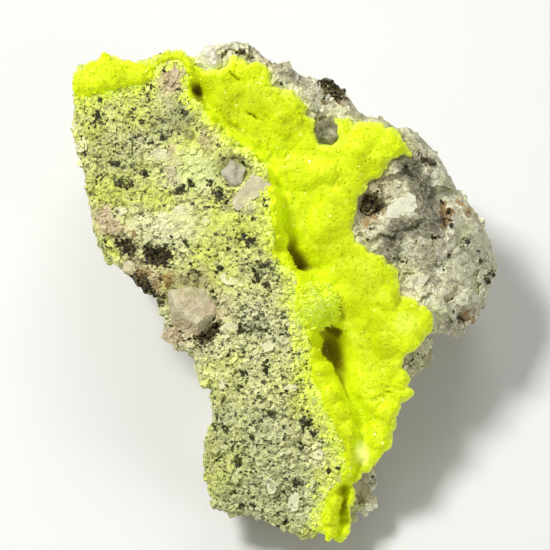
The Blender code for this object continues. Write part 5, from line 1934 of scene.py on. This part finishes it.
    def plates(self) -> Piece:
        """Sets small thin plates on the coat, most of them on edge."""
        rng = np.random.default_rng(self.seed)
        x, y = rng.uniform(-TAIL_REACH, FACE_REACH, (2, self.plate_draws))
        kept = np.flatnonzero(RELIEF.frilled_inset(x, y) > 0.15 * MM)[: self.plate_count]
        places, normals = surface_at(self.surface, x[kept], y[kept], NORMAL_STEP)
        count = len(places)
        size = 0.12 + 0.26 * rng.uniform(0, 1, count) ** 2
        half = stacked(size, size * rng.uniform(0.6, 1, count), rng.uniform(0.035, 0.07, count)) * MM
        across = unit(np.cross(normals, rng.normal(size=normals.shape)))
        flatness = rng.uniform(0, 0.9, count)[:, None] ** 2
        axes = axes_on(unit(across * (1 - flatness) + normals * flatness), 0.15, rng)
        points, faces = Chip.block().laid(places - normals * half[:, :1] * 0.2, axes, half, 0.12, rng)
        masks = self.masks(places)
        masks[Mask.GRAIN] = rng.uniform(0, 1, count)
        return self.piece("crust_plates", leaned_back(points), faces, repeated(masks, 8))

    def dust(self) -> Piece:
        """Sprinkles small plates on the slab beside the crust, fewer the farther out they lie."""
        rng = np.random.default_rng(self.seed + 2)
        x, y = rng.uniform(-TAIL_REACH, FACE_REACH, (2, self.dust_draws))
        reach = 2.2 * MM + 2.4 * MM * fade(2, -14, y)
        share = -RELIEF.frilled_inset(x, y) / reach
        near = (share > -0.05) & (rng.uniform(0, 1, len(x)) < np.clip(1 - share, 0, None) ** 1.6)
        near &= (RELIEF.seam(x, y)[0] < 0) & RELIEF.within(x, y, 0.2 * MM)
        kept = np.flatnonzero(near)[: self.dust_count]
        places, normals = self.stone.on_face(x[kept], y[kept])
        count = len(places)
        size = 0.14 + 0.34 * rng.uniform(0, 1, count) ** 2
        half = stacked(size, size * rng.uniform(0.6, 1, count), size * rng.uniform(0.2, 0.6, count)) * MM
        axes = axes_on(normals, 0.5, rng)
        points, faces = Chip.block().laid(places + normals * half[:, 2:] * 0.3, axes, half, 0.25, rng)
        masks = self.masks(places)
        masks[Mask.SHADE] = masks[Mask.SHADE] * 0.3
        masks[Mask.PALE] = rng.uniform(0.1, 0.7, count) + 0.4 * np.clip(share[kept], 0, 1)
        masks[Mask.GRAIN] = rng.uniform(0, 1, count)
        return self.piece("crust_dust", leaned_back(points), faces, repeated(masks, 8))

    def rosette_blades(self) -> Piece:
        """Sets thin blades on the rosette's dome, fanned out from its middle.

        A blade's long axis is the surface's normal plus a share of the way out from the middle,
        and it stands a little proud of the surface, most of all at the rosette's edge.

        Returns:
            The piece.
        """
        rng = np.random.default_rng(self.seed + 1)
        count = self.blade_count
        turn, share = rng.uniform(0, tau, count), np.sqrt(rng.uniform(0, 1, count))
        reach = np.array(self.rosette_reach) * MM
        x = self.rosette[0] * MM + np.cos(turn) * share * reach[0]
        y = self.rosette[1] * MM + np.sin(turn) * share * reach[1]
        places, normals = surface_at(self.surface, x, y, NORMAL_STEP)
        away = flat_points(np.cos(turn), np.sin(turn)) * share[:, None]
        out = unit(unit(normals + (0, 0, 1)) + away * 0.9)
        across = unit(np.cross(out, away + rng.normal(size=out.shape) * 0.3))
        axes = stacked(out, np.cross(across, out), across)
        half = stacked(*(rng.uniform(low, high, count) for low, high in self.blade_sizes)) * MM
        proud = rng.uniform(0.15, 0.55, count) * MM + 0.5 * MM * share**3
        roots = places + out * (proud[:, None] - half[:, :1])
        points, faces = Chip.block().laid(roots, axes, half, 0.12, rng)
        masks = self.masks(places)
        masks[Mask.SHADE] = rng.uniform(0, 0.34, count) * (0.4 + 0.6 * share)
        masks[Mask.CREASE] = masks[Mask.CREASE] * 0.3
        masks[Mask.PALE] = rng.uniform(0, 1, count) ** 1.6 * (0.85 - 0.55 * share**2)
        masks[Mask.GRAIN] = rng.uniform(0, 1, count)
        return self.piece("crust_rosette", leaned_back(points), faces, repeated(masks, 8))

    def build(self) -> list[Piece]:
        """Makes the coat, its plates, its dust and the rosette."""
        return [self.coat(), self.plates(), self.dust(), self.rosette_blades()]


@dataclass
class SetCrystal:
    """A crystal set in the stone: the solid's own planes, with softened edges and a broken skin."""

    node: str
    slot: str
    finish: Material
    columns: int = 160
    rows: int = 80
    crispness: float = 80
    fracture: float = 0.18 * MM
    waver: float = 0.35 * MM
    cuts: int = 6
    cut_depth: tuple[float, float] = (0.72, 0.9)
    cut_spread: float = 0.7
    flush: float = 0.8
    growth: float = 1
    girth: float = 1
    taper: float = 0
    seed: int = 0

    def build(self) -> Piece:
        """Makes the crystal on a grid of bearings and heights about the solid's middle.

        Along each direction u the radius is (sum of (n.u / d)^p)^(-1/p) over the solid's faces,
        with n a face's normal, d its distance from the middle and p the crispness. One cut square
        to the display direction, a few random cuts about it, each at a share of the solid's
        depth, and fine fracture facets are taken off it, and a slow swell is added.

        Returns:
            The piece that stands for the solid.
        """
        mesh = bpy.data.objects[self.node].data
        corners, normals, centres = (
            self.read(parts, kind) for parts, kind in (
                (mesh.vertices, "co"), (mesh.polygons, "normal"), (mesh.polygons, "center"),
            )
        )
        middle = (corners.min(axis=0) + corners.max(axis=0)) / 2
        depth = ((centres - middle) * normals).sum(axis=-1)
        rng = np.random.default_rng(self.seed)
        facing = leaned_back(np.array([(0, 0, 1)])) - leaned_back(np.zeros((1, 3)))
        leans = np.concatenate([np.zeros((1, 3)), rng.normal(size=(self.cuts, 3)) * self.cut_spread])
        cuts = unit(facing + leans)
        depths = np.append(self.flush, rng.uniform(*self.cut_depth, self.cuts))
        reach = ((corners - middle) @ cuts.T).max(axis=0) * depths
        normals, depth = np.concatenate([normals, cuts]), np.concatenate([depth, reach])
        bearing = np.arange(self.columns) * tau / self.columns
        tilt = np.linspace(-tau / 4, tau / 4, self.rows + 1)[1:-1]
        tilts, bearings = paired(tilt, bearing)
        out = stacked(np.cos(tilts) * np.cos(bearings), np.cos(tilts) * np.sin(bearings), np.sin(tilts))
        out = np.concatenate([out, [(0, 0, -1), (0, 0, 1)]])
        shares = np.clip(out @ normals.T, 0, None) / depth
        most = shares.max(axis=-1, keepdims=True)
        radius = ((shares / most) ** self.crispness).sum(axis=-1) ** (-1 / self.crispness) / most[:, 0]
        points = self.tapered(middle + out * radius[:, None] * self.growth, middle, corners)
        coarse, fine = Cells.around(points, 1.6 * MM, 601), Cells.around(points, 0.7 * MM, 611)
        broken = coarse.facets() + 0.5 * fine.facets()
        taken = np.clip(0.9 - broken, 0, 2) * self.fracture - swell(points, 1.8 * MM, 621) * self.waver
        points = points - out * taken[:, None]
        index = np.arange(len(tilt) * self.columns).reshape(-1, self.columns)
        after = np.roll(index, -1, axis=1)
        walls = stacked(index[:-1], after[:-1], after[1:], index[1:]).reshape(-1, 4)
        foot = stacked(after[0], index[0], np.full(self.columns, len(out) - 2))
        head = stacked(index[-1], after[-1], np.full(self.columns, len(out) - 1))
        name = self.node + "_crystal"
        return new_piece(name, points, [walls, foot, head], self.finish, self.node)

    def read(self, parts: bpy.types.bpy_prop_collection, kind: str) -> Array:
        """Reads a position or direction (n, 3) of each part of a mesh."""
        values = np.empty(len(parts) * 3)
        parts.foreach_get(kind, values)
        return values.reshape(-1, 3)

    def tapered(self, points: Array, middle: Array, corners: Array) -> Array:
        """Widens points at the right-hand end of the solid's long axis and narrows them at the other.

        Args:
            points: the crystal's points.
            middle: its middle.
            corners: the solid's corners, whose longest direction is the long axis.

        Returns:
            The points. Their distance from the axis is multiplied by girth + taper at one end
            and by girth - taper at the other.
        """
        axis = np.linalg.svd(corners - corners.mean(axis=0), full_matrices=False)[2][0]
        axis *= np.sign(axis[0])
        along = (points - middle) @ axis
        across = points - middle - along[:, None] * axis
        share = along / np.abs(along).max()
        stretched = along * (1 + 0.4 * self.taper * share)
        return middle + stretched[:, None] * axis + across * (self.girth + self.taper * share)[:, None]


@dataclass
class Studio:
    """The pale floor, the soft lights and the camera."""

    framed_width: float = 110 * MM
    lens: float = 200
    sensor: float = 36
    floor_size: float = 1.6
    floor_cells: int = 8
    lights: tuple[tuple[str, tuple[float, float, float], float, float], ...] = (
        ("key", (-0.34, 0.40, 0.52), 0.16, 5.2),
        ("fill", (0.45, -0.2, 0.5), 0.4, 1.2),
        ("rim", (0.1, 0.62, 0.25), 0.3, 1),
    )

    def build(self) -> None:
        """Sets up the floor, the world, three soft lights and the camera."""
        scene = bpy.context.scene
        scene.view_settings.view_transform = "Standard"
        world = bpy.data.worlds.new("studio")
        world.use_nodes = True
        sky = world.node_tree.nodes["Background"]
        sky.inputs["Color"].default_value = (0.95, 0.95, 0.93, 1)
        sky.inputs["Strength"].default_value = 0.22
        scene.world = world
        self.floor()
        for row in self.lights:
            self.light(*row)
        distance = self.lens / self.sensor * self.framed_width
        camera = bpy.data.cameras.new("camera")
        camera.lens, camera.sensor_width = self.lens, self.sensor
        camera.clip_start, camera.clip_end = 0.01, 10
        stand = bpy.data.objects.new("camera", camera)
        stand.location = leaned_back(np.array([[0, 0, distance]]))[0]
        stand.rotation_euler = (LEAN_BACK, 0, 0)
        scene.collection.objects.link(stand)
        scene.camera = stand

    def floor(self) -> None:
        """Lays the floor: a flat square sheet at the resting plane."""
        half, count = self.floor_size / 2, self.floor_cells + 1
        x, y = paired(*[np.linspace(-half, half, count)] * 2)
        quads = cells_between(np.arange(count**2).reshape(count, count)).reshape(-1, 4)
        mesh = bpy.data.meshes.new("floor")
        mesh.from_pydata(flat_points(x, y).tolist(), [], quads.tolist())
        mesh.materials.append(FloorFinish().make())
        floor = bpy.data.objects.new("floor", mesh)
        bpy.context.scene.collection.objects.link(floor)

    def light(self, name: str, place: tuple[float, float, float], size: float, power: float) -> None:
        """Adds a soft square light, aimed at the specimen's middle.

        Args:
            name: its name.
            place: where it stands in the display frame.
            size: the length of its side.
            power: how strong it is, in watts.
        """
        lamp = bpy.data.lights.new(name, "AREA")
        lamp.energy, lamp.size = power, size
        stand = bpy.data.objects.new(name, lamp)
        there = leaned_back(np.array([place]))[0]
        stand.location = there
        stand.rotation_euler = Vector(there).to_track_quat("Z", "Y").to_euler()
        bpy.context.scene.collection.objects.link(stand)


def quartz(
    node: str, name: str, pale: Sequence[int], dark: Sequence[int], clearness: float, blush: Sequence[int],
    stain_share: float, **shape: float | tuple[float, float],
) -> SetCrystal:
    """A set quartz crystal with a finish of its own.

    Args:
        node: the solid that it stands for.
        name: the finish's name.
        pale: display values of its pale tone, from 0 to 255.
        dark: those of its dark tone.
        clearness: how much light passes through it.
        blush: display values of its warmer places.
        stain_share: how strongly it is stained.
        shape: the crystal's own sizes.

    Returns:
        The crystal, not built yet.
    """
    finish = QuartzFinish(name, tint(*pale), tint(*dark), clearness, tint(*blush), stain_share)
    return SetCrystal(node, "quartz", finish.make(), **shape)


def main() -> None:
    """Builds the specimen piece by piece, then the studio round it."""
    logging.basicConfig(level=logging.INFO, format="%(message)s")
    granite = GraniteFinish().make()
    stone = Stone(granite)
    stone.build()
    grains = Grains(stone, granite)
    grains.build()
    mica = MicaFinish("mica", tint(18, 16, 7), tint(84, 80, 38)).make()
    iron = MicaFinish("iron", tint(14, 11, 6), tint(90, 76, 44), 0.55).make()
    Micas(grains, mica, iron).build()
    Crust(stone, AutuniteFinish().make()).build()
    for crystal in (
        quartz(
            "quartz_nodule", "nodule_quartz", (230, 220, 184), (160, 154, 112), 0.1, (210, 188, 150), 0.2,
            columns=220, rows=110, cuts=12, cut_depth=(0.7, 0.84), cut_spread=0.8, flush=0.74,
            fracture=0.16 * MM, growth=1.12, seed=12,
        ),
        quartz(
            "smoky_quartz", "smoky_quartz", (176, 172, 132), (84, 80, 54), 0.12, (120, 116, 84), 0.3,
            seed=3, flush=0.62, growth=1.3, waver=0.6 * MM,
        ),
        quartz(
            "grey_quartz", "grey_quartz", (218, 214, 188), (164, 160, 132), 0.08, (190, 186, 160), 0.15,
            seed=5, cut_depth=(0.62, 0.8), cut_spread=0.9, flush=0.5, growth=1.26, waver=0.6 * MM,
        ),
        quartz(
            "white_quartz", "white_quartz", (250, 246, 226), (226, 222, 198), 0.1, (236, 230, 206), 0.1,
            seed=8, cut_depth=(0.7, 0.9), flush=0.72, growth=1.12,
        ),
        SetCrystal(
            "feldspar_lath", "feldspar", FeldsparFinish().make(),
            cuts=5, cut_depth=(0.6, 0.85), flush=0.5, growth=1.05, girth=1.35, taper=0.4, seed=4,
        ),
    ):
        crystal.build()
    Studio().build()


if __name__ == "__main__":
    main()
    bpy.context.view_layer.update()
